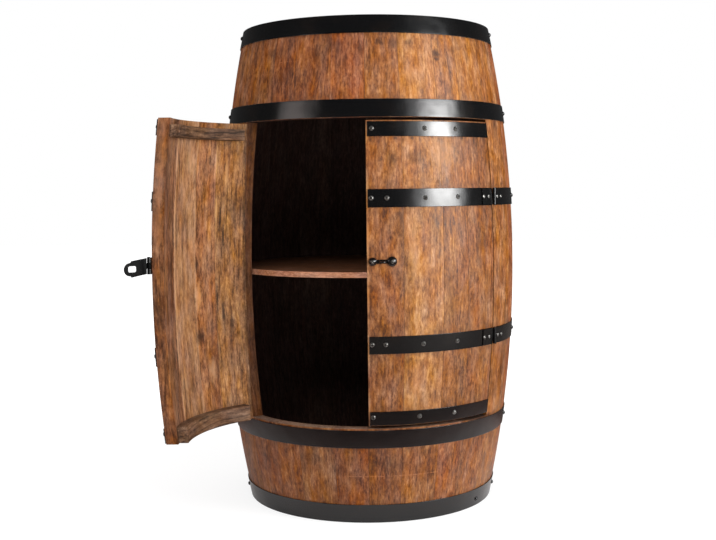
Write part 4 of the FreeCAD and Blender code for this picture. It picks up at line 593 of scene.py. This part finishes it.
m_inner = wood("door_wood_inside", INNER, rough=0.58, stain=0.75, spec=0.16, fig=0.90, rings=1.4, sat=1.06, marks=INSIDE_MARKS)
m_inner_a = wood("door_wood_inside_even", INNER, rough=0.58, stain=0.55, spec=0.16, fig=0.66, rings=1.4, sat=0.97, marks=INSIDE_MARKS)
EDGE_MARKS = []
for zz_, amt_ in ((600.0, 0.20), (545.0, 0.26), (490.0, 0.24)):      # lighter patches on the upper part of the free edge of the left door
    q_ = to_left_door(on_barrel(-0.3, zz_, -9.0)) * 0.001
    EDGE_MARKS.append(((float(q_[0]), float(q_[1]), float(q_[2])), (0.0110, 0.0500), amt_, True))
m_edge = wood("wood_cut_edge", EDGE, rough=0.55, stain=0.6, contrast=1.25, fig=0.5, spec=0.14, seam=0.0, marks=EDGE_MARKS)
m_jamb = wood("jamb_cut_edge", JAMB, rough=0.55, stain=0.8, fig=0.6, spec=0.14, seam=0.0)
m_dark_stain_and_shade = wood("black_stain_and_lintel_shade", BLACK, rough=0.65, spec=0.06, stain=0.3, seam=0.3)
m_batten = wood("batten_dark", tuple(tuple(1.18 * v for v in c) for c in BATTEN), rough=0.60, contrast=1.7, fig=0.4, rings=2.2, spec=0.14, seam=0.0)
m_pale = wood("sawn_end_wood", PALE, rough=0.70, fig=0.7, rings=1.8, spec=0.2, stain=0.6, seam=0.0, marks=[((0.1740, -0.1500, 0.1570), (0.0560, 0.0200), 0.90, False)])
m_head = wood("head_wood", STAIN, rough=0.50)
m_painted_shade_shelf_top = wood("shelf_wood", SHADED_TOP_TONES, rough=0.55, spec=0.25, seam=0.0)
m_painted_light_shelf_rim = wood("shelf_edge_wood", LIT_RIM_TONES, rough=0.55, spec=0.2, seam=0.0)
m_hoop = steel("hoop_black_satin")
m_screw = steel("fastener_zinc_black", base=(0.21, 0.205, 0.195), tint=(0.10, 0.092, 0.085), rough=0.31, wear=0.0, recess=True, metallic=0.92)
m_hinge = steel("hinge_black", base=(0.0018, 0.0018, 0.0020), rough=0.24, wear=0.0)
m_hasp = steel("hasp_black", base=(0.0018, 0.0018, 0.0020), rough=0.30, wear=0.0, spec=0.05)


def bright_metal(name, base, rough):
    T = Tree(name)
    P = T.coord()
    n = T.noise(P, 700.0, 3.0, 0.6)
    T.put(T.p.inputs["Base Color"], T.mix(n, tuple(0.7 * v for v in base), base))
    T.p.inputs["Metallic"].default_value = 1.0
    T.put(T.p.inputs["Roughness"], T.m("ADD", rough, T.m("MULTIPLY", T.m("SUBTRACT", n, 0.5), 0.2)))
    T.put(T.p.inputs["Normal"], T.bump(n, 0.15, 0.0003))
    return T.mat


m_bright = bright_metal("rubbed_steel", (0.42, 0.41, 0.39), 0.30)

HOOP_Z = {"top_chime_hoop": (771.6, 800.0), "upper_quarter_hoop": (641.5, 669.2), "upper_bilge_hoop": (503.0, 531.0),
          "lower_bilge_hoop": (276.6, 304.0), "lower_quarter_hoop": (125.5, 154.5), "bottom_chime_hoop": (0.0, 30.5)}
ALL_HOOPS = list(HOOP_Z.values())
DOOR_BANDS = [(611.5, 634.5), (503.0, 531.0), (276.6, 304.0), (162.8, 184.8)]

# ------------------------------------------------------------------ staves
FULL = [15.6, 18.9, 17.2, 20.1, 16.8, 19.2, 17.9, 18.6, 16.4, 19.8, 17.5, 18.8, 17.3, 16.1]
span = 360.0 - 2 * HINGE - 2 * 0.23
full = [round(w * span / sum(FULL), 4) for w in FULL]
DOOR_W = [13.4, 15.3, 11.2, 15.0]
rg = random.Random(11)


def pith_of(r):
    return (r.uniform(-0.45, 0.45), r.choice((-1, 1)) * r.uniform(0.25, 1.0), r.uniform(-0.075, 0.075))


az = HINGE + 0.23
FULL_TONE = [(0.03, 0.004, 0.02), (0.02, -0.004, 0.0), (-0.03, 0.0, -0.06), (0.04, 0.006, 0.03), (-0.02, -0.005, 0.0),
             (0.0, 0.0, 0.04), (0.05, 0.005, 0.0), (-0.04, -0.004, -0.04), (0.02, 0.004, 0.05), (-0.01, 0.0, -0.02),
             (0.04, -0.003, 0.03), (0.0, 0.005, -0.05), (-0.03, -0.004, 0.03), (0.0, 0.0, -0.02)]
for i, w in enumerate(full):
    b = Build("stave_%02d_wood" % (i + 1))
    plank(b, az, az + w, 0.0, 800.0, -21.0, 0.0, rb=0.45, zstep=11.0, astep=1.5, gap=0.06, mats=(0, 1, 2, 3),
          rnd=FULL_TONE[i], pith=pith_of(rg), seed=i + 1, wave=0.10, crown=0.25,
          inner_rule=lambda z: z > 768 or z < 32, hoops=ALL_HOOPS)
    b.make([m_barrel, m_dark_stain_and_shade, m_jamb, m_barrel], "root", ["stave_%02d" % (i + 1)])
    az += w

# short staves above and below the doors; tone, hue and value of each, from the left hinge
UPPER_TONE = [(-0.05, 0.0, -0.03), (-0.06, -0.004, -0.06), (0.0, -0.002, 0.0), (-0.03, -0.006, 0.02),
              (0.03, 0.002, 0.03), (0.15, 0.006, 0.10), (0.06, 0.004, 0.03), (0.07, 0.006, 0.0)]
LOWER_TONE = [(-0.02, -0.003, -0.02), (0.04, -0.001, 0.09), (0.05, 0.002, 0.02), (-0.02, -0.003, 0.0),
              (0.0, 0.0, 0.0), (0.02, 0.003, 0.02), (0.0, -0.003, 0.02), (0.03, 0.0, 0.0)]
for level, z0, z1, tones, s0 in (("upper", 641.0, 800.0, UPPER_TONE, 40), ("lower", 0.0, 157.0, LOWER_TONE, 60)):
    b = Build(level + "_front_staves_wood")
    v = -HINGE
    for n in range(8):
        w = DOOR_W["dcbaabcd".index("dcbaabcd"[n]) if False else {"a": 0, "b": 1, "c": 2, "d": 3}["dcbaabcd"[n]]]
        a0 = v - (0.23 if n == 0 else 0.0)
        a1 = v + w + (0.23 if n == 7 else 0.0)
        plank(b, a0, a1, z0, z1, -21.0, 0.0, rb=0.45, zstep=9.0, astep=1.4, gap=0.05, mats=(0, 1, 2, 3),
              rnd=tones[n], pith=pith_of(rg), seed=s0 + n, wave=0.08, crown=0.2,
              inner_rule=lambda z: z > 768 or z < 32, hoops=ALL_HOOPS)
        v += w
    # painted shade: the sawn ends under the upper staves, over the door opening, take the black inside stain, while the
    # sill's sawn ends take pale end wood
    ob = b.make([m_barrel, m_dark_stain_and_shade, m_edge, m_pale if level == "lower" else m_dark_stain_and_shade], "root", [level + "_front_staves"])
    if level == "upper":                # the chime ends are stained like the outside
        for poly in ob.data.polygons:
            if poly.material_index == 3 and poly.center.z > 0.7:
                poly.material_index = 0

# ------------------------------------------------------------------ doors
# tone of each door stave, from the meeting edge towards the hinge
RIGHT_TONE = [(-0.02, 0.0, 0.0), (0.13, 0.004, 0.06), (0.0, 0.002, -0.02), (-0.05, 0.0, -0.05)]
LEFT_TONE = [(-0.12, -0.003, -0.04), (0.05, 0.003, 0.02), (0.02, -0.003, 0.0), (0.0, 0.004, -0.03)]
for side, sgn in (("left", -1), ("right", 1)):
    e = 0.0
    for n in range(4):
        lo = e + (0.24 if n == 0 else 0.0)
        hi = e + DOOR_W[n] - (0.23 if n == 3 else 0.0)
        nm = "%s_door_stave_%d" % (side, n + 1)
        b = Build(nm + "_wood")
        plank(b, sgn * lo, sgn * hi, 162.0, 636.5, -18.0, 0.0, rb=0.45, zstep=10.0, astep=1.3, gap=0.05,
              door=side, mats=(0, 1, 2, 3), rnd=(RIGHT_TONE if side == "right" else LEFT_TONE)[n], pith=pith_of(rg),
              seed=(20 if side == "right" else 30) + n, wave=0.08, crown=0.25, hoops=DOOR_BANDS)
        b.make([m_door, m_inner_a if side == "left" and n < 2 else m_inner, m_edge, m_pale if side == "right" else m_edge],
               side + "_door", [nm])
        e += DOOR_W[n]
    for nm, z0, z1 in (("top_batten", 609.5, 627.0), ("bottom_batten", 163.5, 187.5)):
        b = Build("%s_door_%s_wood" % (side, nm))
        # the grain of a batten runs across the door
        plank(b, sgn * 0.6, sgn * 51.3, z0, z1, -33.02, -18.02, rb=1.6, zstep=4.0, astep=1.2, door=side,
              mats=(0, 0, 0, 0), rnd=(0.0, 0.0, 0.0), seed=70 + (nm == "top_batten") + 2 * (sgn > 0))
        for key in ("grain",):
            gr = b.a[key][0]
            b.a[key][0] = gr[:, [2, 1, 0]]
        b.a["edge"][0][:] = 50.0
        b.make([m_batten], side + "_door", ["%s_door_%s" % (side, nm)])

# ------------------------------------------------------------------ heads, shelf, cleats


def slab(b, outline, z0, z1, rb, mats, rnd, seed, pith, along="y", bevel=None):
    """A flat board with a convex outline and rounded edges, its grain along y or x."""
    P = np.array(outline, float)
    n = len(P)
    nxt, prv = np.roll(P, -1, 0), np.roll(P, 1, 0)

    def unit(v):
        return v / np.maximum(np.linalg.norm(v, axis=1, keepdims=True), 1e-9)
    d1, d2 = unit(P - prv), unit(nxt - P)
    n1, n2 = np.stack([d1[:, 1], -d1[:, 0]], -1), np.stack([d2[:, 1], -d2[:, 0]], -1)   # outward for a counter-clockwise outline
    bis = unit(n1 + n2)
    co_len = 1.0 / np.maximum((bis * n1).sum(1), 0.35)
    steps = [(rb * d, rb * h) for d, h in ENDS]
    levels = [(z0 + h, d) for d, h in steps] + [(z1 - h, d) for d, h in reversed(steps)]
    rows = []
    for z, ins in levels:
        extra = 0.0
        if bevel and bevel[0] == "low" and z < z0 + bevel[1]:
            extra = 0.0
        q = P - bis * (co_len * (ins + extra))[:, None]
        rows.append(np.column_stack([q, np.full(n, z)]))
    co = np.concatenate(rows)
    L = len(levels)
    faces, fm = [], []
    for i in range(L - 1):
        for j in range(n):
            j2 = (j + 1) % n
            faces.append([i * n + j, i * n + j2, (i + 1) * n + j2, (i + 1) * n + j])
            fm.append(mats[2])
    faces.append(list(range(n - 1, -1, -1)))
    fm.append(mats[1])
    faces.append([(L - 1) * n + j for j in range(n)])
    fm.append(mats[0])
    if along == "y":
        grain = np.stack([co[:, 0], co[:, 2], co[:, 1]], -1) / 100.0
    else:
        grain = np.stack([co[:, 1], co[:, 2], co[:, 0]], -1) / 100.0
    grain = grain + np.array([seed * 1.37 % 7, seed * 0.73 % 5, seed * 2.91 % 11])
    b.add(co, faces, fm, grain, rnd, pith_shift(pith, seed), np.full(len(co), 50.0))


def disc_strip(r, x0, x1):
    """Outline of the part of a disc between two parallel lines, counter-clockwise."""
    x0, x1 = max(x0, -r + 0.01), min(x1, r - 0.01)
    pts = []
    n = 40
    aa = math.asin(x0 / r), math.asin(x1 / r)
    for k in range(n + 1):
        t = aa[0] + (aa[1] - aa[0]) * k / n
        pts.append((r * math.sin(t), -r * math.cos(t)))
    for k in range(n + 1):
        t = aa[1] + (aa[0] - aa[1]) * k / n
        pts.append((r * math.sin(t), r * math.cos(t)))
    out = []
    for p in pts:
        if not out or math.dist(p, out[-1]) > 0.3:
            out.append(p)
    if math.dist(out[0], out[-1]) < 0.3:
        out.pop()
    return out


BOARDS = {"top_head": [-240.0, -128.0, -47.0, 39.0, 118.0, 240.0], "bottom_head": [-240.0, -112.0, -38.0, 51.0, 131.0, 240.0]}
for label, z0, z1 in (("top_head", 752.0, 768.0), ("bottom_head", 32.0, 48.0)):
    b = Build(label + "_wood")
    for k in range(5):
        o = disc_strip(201.2, BOARDS[label][k] + 0.05, BOARDS[label][k + 1] - 0.05)
        if label == "bottom_head":
            o = [(-y, x) for x, y in o]
        top = label == "top_head"
        slab(b, o, z0, z1, 1.9, (0, 1, 0) if top else (1, 0, 0), (rg.uniform(-0.05, 0.06) * 1.7, rg.uniform(-0.004, 0.005), 0.0),
             80 + k + (0 if top else 10), (rg.uniform(-0.3, 0.3), -rg.uniform(0.3, 0.8), rg.uniform(-0.05, 0.05)), "y" if top else "x")
    b.make([m_head, m_dark_stain_and_shade], "root", [label])

b = Build("shelf_wood")
o = [(229.6 * math.cos(t), 229.6 * math.sin(t)) for t in np.linspace(0, 2 * math.pi, 240, endpoint=False)]
# painted light and shade: top and bottom faces take the shaded tones, the rim the lit tones
slab(b, o, 393.5, 402.5, 1.0, (0, 0, 1), (0, 0, 0), 95, (0.2, -0.5, 0.02), "x")
b.make([m_painted_shade_shelf_top, m_painted_light_shelf_rim], "root", ["shelf"])

b = Build("shelf_cleats_wood")
for k, a in enumerate((-128.0, -72.0, 72.0, 128.0)):
    plank(b, a - 6.5, a + 6.5, 393.5 - 24.02, 393.48, -39.02, -21.02, rb=1.2, zstep=5.0, astep=1.5, mats=(0, 0, 0, 0), seed=100 + k)
b.make([m_dark_stain_and_shade], "root", ["shelf_cleats"])

# ------------------------------------------------------------------ hoops and straps
for label, (z0, z1) in HOOP_Z.items():
    b = Build(label + "_steel")
    if "bilge" in label:
        plank(b, 55.85, 304.15, z0, z1, 0.05, 1.55, rb=0.35, zstep=3.5, astep=1.0, mats=(0, 0, 0, 0), seed=5)
    else:
        ring_band(b, z0, z1, 0.05, 1.55, 0.35, 360, (0,), (0, 0, 0), 0)
        plank(b, 173.0, 187.0, z0, z1, 1.55, 3.05, rb=0.35, zstep=3.5, astep=1.0, mats=(0, 0, 0, 0), seed=6)
    b.make([m_hoop], "root", [label])

STRAPS = [("top_strap", 611.5, 634.5, HINGE - 0.23), ("upper_hinge_strap", 503.0, 531.0, HINGE - 0.95),
          ("lower_hinge_strap", 276.6, 304.0, HINGE - 0.95), ("bottom_strap", 162.8, 184.8, HINGE - 0.23)]
for side, sgn in (("left", -1), ("right", 1)):
    for nm, z0, z1, end in STRAPS:
        b = Build("%s_door_%s_steel" % (side, nm))
        plank(b, sgn * 0.75, sgn * end, z0, z1, 0.05, 1.55, rb=0.35, zstep=3.5, astep=0.9, door=side, mats=(0, 0, 0, 0), seed=7)
        b.make([m_hoop], side + "_door", ["%s_door_%s" % (side, nm)])

# ------------------------------------------------------------------ fasteners


def seat(azimuth, z, off, door=None):
    """Place of a fastener's seat, and the axes across, up and out of the surface there."""
    al = math.asin((z - HALF) / RHO)
    r = CX + (RHO + off) * math.cos(al)
    zz = HALF + (RHO + off) * math.sin(al)
    a = math.radians(azimuth)
    out = np.array([math.sin(a) * math.cos(al), -math.cos(a) * math.cos(al), math.sin(al)])
    across = np.array([math.cos(a), math.sin(a), 0.0])
    up = np.cross(out, across)
    p = np.array([r * math.sin(a), -r * math.cos(a), zz])
    if door == "left":
        q = to_left_door(np.array([p, p + out, p + across, p + up]))
        return q[0], q[2] - q[0], q[3] - q[0], q[1] - q[0]
    return p, across, up, out


def dome(b, place, rad, high, mat=0, recess=None, spin=0.0, shank=(1.4, 6.0), seed=0, skirt=0.35):
    """A domed head, turned in one piece with a stub of its shank, closed at the bottom. recess is
    'cross' or 'slot', cut into the crown."""
    p, ax, up, out = place
    rg_ = random.Random(seed)
    NS, NR = 48, 16
    Rs = (rad * rad + high * high) / (2 * high)
    rows = []
    zz = []
    for k in range(NR + 1):
        rr_ = rad * k / NR
        h = math.sqrt(max(Rs * Rs - rr_ * rr_, 0)) - (Rs - high)
        rows.append((rr_, h))
    co, faces, fm = [], [], []
    ca, sa = math.cos(spin), math.sin(spin)
    co.append((0.0, 0.0, rows[0][1]))
    for k in range(1, NR + 1):
        for j in range(NS):
            t = 2 * math.pi * j / NS
            co.append((rows[k][0] * math.cos(t), rows[k][0] * math.sin(t), rows[k][1]))
    co = np.array(co)
    wear = np.full(len(co), 50.0)
    deep = np.zeros(len(co))
    if recess:
        x = co[:, 0] * ca + co[:, 1] * sa
        y = -co[:, 0] * sa + co[:, 1] * ca

        def arm(u, v, half, length):
            a = np.clip((half - np.abs(v)) / (0.22 * rad) + 0.5, 0, 1)
            c = np.clip((length - np.abs(u)) / (0.16 * rad) + 0.5, 0, 1)
            return a * c
        if recess == "cross":
            deep = np.maximum(arm(x, y, 0.10 * rad, 0.52 * rad), arm(y, x, 0.10 * rad, 0.52 * rad))
        else:
            deep = arm(x, y, 0.09 * rad, 0.95 * rad)
        deep = deep * deep * (3 - 2 * deep)
        co[:, 2] -= deep * 0.42 * high
    for j in range(NS):
        faces.append([0, 1 + j, 1 + (j + 1) % NS])
        fm.append(mat)
    for k in range(1, NR):
        for j in range(NS):
            a0, a1 = 1 + (k - 1) * NS + j, 1 + (k - 1) * NS + (j + 1) % NS
            faces.append([a0, 1 + k * NS + j, 1 + k * NS + (j + 1) % NS, a1])
            fm.append(mat)
    # small skirt under the rim, then the shank
    base = 1 + (NR - 1) * NS
    prof = [(rad - 0.05, -0.02), (shank[0], -0.02), (shank[0], -shank[1])]
    ring0 = base
    for rr_, h in prof:
        st = len(co)
        co = np.concatenate([co, np.array([(rr_ * math.cos(2 * math.pi * j / NS), rr_ * math.sin(2 * math.pi * j / NS), h) for j in range(NS)])])
        for j in range(NS):
            faces.append([ring0 + j, st + j, st + (j + 1) % NS, ring0 + (j + 1) % NS])
            fm.append(mat)
        ring0 = st
    faces.append([ring0 + NS - 1 - j for j in range(NS)])
    fm.append(mat)
    w = p + co[:, :1] * ax + co[:, 1:2] * up + co[:, 2:3] * out
    wear = np.full(len(co), 50.0)
    # edge value 0 marks the recess, where the screw material paints shade
    wear[:len(deep)] = np.where(deep > 0.25, 0.0, 50.0)
    b.add(w, faces, fm, np.asarray(co) / 100.0, (0, 0, 0), (0, 0, 0), wear)


TOP_STRAP = [(2.4, 623.6), (22.5, 623.6), (36.0, 623.2)]
UPPER_HINGE = [(1.95, 517.4), (7.5, 517.2), (21.7, 516.6), (35.2, 517.6)]
LOWER_HINGE = [(1.75, 291.6), (6.6, 291.4), (20.5, 290.6), (34.5, 290.9)]
BOTTOM_STRAP = [(1.95, 176.2), (19.7, 175.4), (34.8, 175.2)]
UPPER_HZ, LOWER_HZ = 517.0, 290.3
LEAF_SCREWS = [3.2, 6.3]
NAILS = [80.0, 143.0, -143.0, -80.0]
MIDS = {"top_chime_hoop": 789.0, "upper_quarter_hoop": 656.0, "upper_bilge_hoop": 518.0,
        "lower_bilge_hoop": 291.0, "lower_quarter_hoop": 142.0, "bottom_chime_hoop": 19.0}
BAND = 1.55

m_nail = steel("nail_black", base=(0.0020, 0.0020, 0.0022), rough=0.24, wear=0.0)
b = Build("hoop_nails_steel")
k = 0
for z in MIDS.values():
    for a in NAILS:
        dome(b, seat(a, z, BAND), 3.6, 2.8, seed=k)
        k += 1
dome(b, seat(56.4, 12.0, BAND), 3.6, 2.8)
b.make([m_nail], "root", ["hoop_nails"])

b = Build("hoop_rivets_steel")
for label, z in MIDS.items():
    if "bilge" not in label:
        for a in (175.6, 184.4):
            dome(b, seat(a, z, 3.05), 4.2, 2.2, shank=(2.0, 2.8))
b.make([m_nail], "root", ["hoop_rivets"])

b = Build("hinge_fixed_screws_steel")
for sgn in (1, -1):
    for hz in (UPPER_HZ, LOWER_HZ):
        for k, d in enumerate(LEAF_SCREWS):
            dome(b, seat(sgn * (HINGE + d), hz, 3.05), 3.1, 1.0, recess="slot", spin=math.radians(25 + 40 * k))
b.make([m_screw], "root", ["hinge_fixed_screws"])

HASP_SCREWS = [(-13.2, 6.0), (-13.2, -6.0), (-26.0, 0.0)]
STAPLE_SCREWS = [9.8, 39.8]
for side, sgn in (("left", -1), ("right", 1)):
    b = Build("%s_door_screws_steel" % side)
    k = 0
    for spots in (TOP_STRAP, UPPER_HINGE, LOWER_HINGE, BOTTOM_STRAP):
        for a, z in spots:
            dome(b, seat(sgn * a, z, BAND, side), 3.95, 2.3, recess="cross", spin=0.4 + 1.1 * k, seed=k)
            k += 1
    for hz in (UPPER_HZ, LOWER_HZ):
        for m, d in enumerate(LEAF_SCREWS):
            dome(b, seat(sgn * (HINGE - d), hz, 3.05, side), 3.1, 1.0, recess="slot", spin=math.radians(15 + 50 * m))
    if side == "right":
        for m, (s, rad) in enumerate(((STAPLE_SCREWS[0], 6.5), (STAPLE_SCREWS[1], 7.6))):
            spot = seat(math.degrees(s / 252.0), 420.0, 1.62, side)
            dome(b, spot, rad, 3.9, shank=(2.4, 0.6), mat=1)
            p, ax, up, out = spot
            dome(b, (p + out * 3.55, ax, up, out), 3.0, 1.5, recess="cross", spin=0.5 + m, shank=(1.4, 1.5))
    if side == "left":
        for m, (s, dz) in enumerate(HASP_SCREWS):
            dome(b, seat(math.degrees((-0.5 + s) / 252.0), 424.0 + dz, 1.65, side), 3.1, 1.0, recess="slot", spin=math.radians(30 * m))
    b.make([m_screw, m_nail], side + "_door", ["%s_door_screws" % side])

# ------------------------------------------------------------------ CAD nodes that stay
for name in ("hinge_fixed_leaves", "hinge_pins", "left_hinge_door_leaves", "right_hinge_door_leaves", "hasp_plate", "hasp_pin", "hasp_strap", "staple"):
    ob = nodes_of[name]
    ob.data.materials.clear()
    ob.data.materials.append(m_nail if "pin" in name else m_hasp if name == "hasp_strap" else m_hinge)
    wd = ob.modifiers.new("weld", "WELD")
    wd.merge_threshold = 0.00002
    bv = ob.modifiers.new("round", "BEVEL")
    bv.width = 0.00022
    bv.segments = 2
    bv.limit_method = "ANGLE"
    bv.angle_limit = math.radians(40)
    bv.harden_normals = False
    wn = ob.modifiers.new("normals", "WEIGHTED_NORMAL")
    wn.keep_sharp = False

# ------------------------------------------------------------------ floor, light, camera
floor_me = bpy.data.meshes.new("floor")
floor_me.from_pydata([(-9, -9, -0.0005), (9, -9, -0.0005), (9, 9, -0.0005), (-9, 9, -0.0005)], [], [(0, 1, 2, 3)])
floor = bpy.data.objects.new("floor", floor_me)
scene.collection.objects.link(floor)
F = Tree("floor_paper")
fx, fy, fz = F.xyz(F.coord())
fr = F.m("SQRT", F.m("ADD", F.m("MULTIPLY", fx, fx), F.m("MULTIPLY", fy, fy)))
lpf = F.t.nodes.new("ShaderNodeLightPath")
grain_f = F.noise(F.coord(), 120.0, 3.0, 0.6)
white = F.mix(grain_f, (0.85, 0.85, 0.85), (0.88, 0.88, 0.88))
fe = F.m("SQRT", F.m("ADD", F.m("MULTIPLY", F.m("MULTIPLY", fx, fx), 0.50), F.m("MULTIPLY", fy, fy)))
# painted shade: rays that reach the floor by reflection see it darkened near the barrel, darkest some 0.6 m out
floor_shade_in_reflections = F.ramp(F.m("MULTIPLY", fe, 0.5), [(0.13, (0.80, 0.78, 0.78)), (0.21, (0.38, 0.29, 0.27)), (0.255, (0.15, 0.095, 0.085)),
                                           (0.31, (0.07, 0.06, 0.055)), (0.60, (0.15, 0.13, 0.12))])
cam_ray = lpf.outputs["Is Camera Ray"]
base = F.mix(lpf.outputs["Is Glossy Ray"], white, floor_shade_in_reflections)
F.put(F.p.inputs["Base Color"], F.mix(cam_ray, base, F.mix(grain_f, (0.225, 0.225, 0.225), (0.235, 0.235, 0.235))))
F.p.inputs["Roughness"].default_value = 0.9
F.p.inputs["Specular IOR Level"].default_value = 0.1
F.p.inputs["Emission Color"].default_value = (1, 1, 1, 1)
seen = F.m("ADD", 0.80, F.m("MULTIPLY", F.rng(fr, 0.5, 1.4), 0.40))
# painted light: beyond 0.55 m the floor glows for rays other than camera and glossy rays, lighting the barrel from
# below though it is no lamp
lit = F.m("MULTIPLY", F.rng(fr, 0.55, 1.7), F.m("SUBTRACT", 1.0, lpf.outputs["Is Glossy Ray"]))
F.put(F.p.inputs["Emission Strength"], F.m("ADD", F.m("MULTIPLY", cam_ray, seen), F.m("MULTIPLY", F.m("SUBTRACT", 1.0, cam_ray), lit)))
floor_me.materials.append(F.mat)

world = bpy.data.worlds.new("studio")
scene.world = world
world.use_nodes = True
wt = world.node_tree
wt.nodes.clear()
wo = wt.nodes.new("ShaderNodeOutputWorld")
bg_cam, bg_dif, bg_gls = (wt.nodes.new("ShaderNodeBackground") for _ in range(3))
bg_cam.inputs[0].default_value = (1, 1, 1, 1)
bg_cam.inputs[1].default_value = 1.0
bg_dif.inputs[0].default_value = (1.0, 0.99, 0.98, 1)
bg_dif.inputs[1].default_value = 0.30
bg_gls.inputs[0].default_value = (1, 1, 1, 1)
bg_gls.inputs[1].default_value = 0.06
lp = wt.nodes.new("ShaderNodeLightPath")
mx1, mx2 = wt.nodes.new("ShaderNodeMixShader"), wt.nodes.new("ShaderNodeMixShader")
wt.links.new(lp.outputs["Is Glossy Ray"], mx1.inputs[0])
wt.links.new(bg_dif.outputs[0], mx1.inputs[1])
wt.links.new(bg_gls.outputs[0], mx1.inputs[2])
wt.links.new(lp.outputs["Is Camera Ray"], mx2.inputs[0])
wt.links.new(mx1.outputs[0], mx2.inputs[1])
wt.links.new(bg_cam.outputs[0], mx2.inputs[2])
wt.links.new(mx2.outputs[0], wo.inputs[0])


def softbox(name, azimuth, elev, dist, w, h, radiance, colour=(1, 1, 1), target=(0, 0, 0.45)):
    """Soft area light seen from the target at that azimuth and elevation, of that radiance."""
    a, e = math.radians(azimuth), math.radians(elev)
    d = Vector((math.sin(a) * math.cos(e), -math.cos(a) * math.cos(e), math.sin(e)))
    li = bpy.data.lights.new(name, "AREA")
    li.shape = "RECTANGLE"
    li.size, li.size_y = w, h
    li.energy = radiance * math.pi * w * h
    li.color = colour
    ob = bpy.data.objects.new(name, li)
    scene.collection.objects.link(ob)
    ob.location = Vector(target) + d * dist
    ob.rotation_mode = "QUATERNION"
    ob.rotation_quaternion = d.to_track_quat("Z", "Y")
    ob.visible_camera = False
    return ob


softbox("key", 58.5, 11.5, 2.30, 0.66, 0.50, 15.0, (1.0, 0.995, 0.985), target=(0, 0, 0.53))
softbox("key_wide", 58.0, 8, 2.36, 1.20, 0.98, 10.5, (1.0, 0.995, 0.985), target=(0, 0, 0.53))
halo = softbox("halo", 55, 11, 2.45, 1.95, 1.7, 1.5, (0.98, 0.99, 1.0), target=(0, 0, 0.53))
halo.visible_diffuse = False
softbox("fill", -57, 12, 2.55, 0.85, 0.75, 1.2, (1.0, 0.84, 0.80), target=(0, 0, 0.53))
softbox("fill_wide", -56, 12, 2.6, 1.45, 0.95, 1.0, (1.0, 0.93, 0.90), target=(0, 0, 0.53))
high = softbox("high", -10, 38, 3.2, 2.2, 1.4, 3.4)
high.visible_glossy = False
top = softbox("top", 0, 90, 3.2, 5.0, 5.0, 1.4, target=(0, -0.2, 0.0))
top.visible_glossy = False

cam_data = bpy.data.cameras.new("camera")
cam_data.sensor_width = 36.0
cam_data.lens = 1095.566 * 36.0 / 716.0
cam = bpy.data.objects.new("camera", cam_data)
scene.collection.objects.link(cam)
ya, pi_, ro = math.radians(-1.2035), math.radians(4.19926), math.radians(-0.677108)
f = Vector((math.sin(ya) * math.cos(pi_), math.cos(ya) * math.cos(pi_), -math.sin(pi_)))
r = Vector((math.cos(ya), -math.sin(ya), 0.0))
u = r.cross(f)
r2 = math.cos(ro) * r + math.sin(ro) * u
u2 = -math.sin(ro) * r + math.cos(ro) * u
cam.matrix_world = Matrix(((r2.x, u2.x, -f.x, 0.02247), (r2.y, u2.y, -f.y, -1.92477), (r2.z, u2.z, -f.z, 0.53051), (0, 0, 0, 1)))
cam_data.clip_start, cam_data.clip_end = 0.05, 60.0
scene.camera = cam

scene.view_settings.view_transform = "Standard"
scene.view_settings.look = "None"
scene.view_settings.exposure = 0.0
scene.view_settings.gamma = 1.0
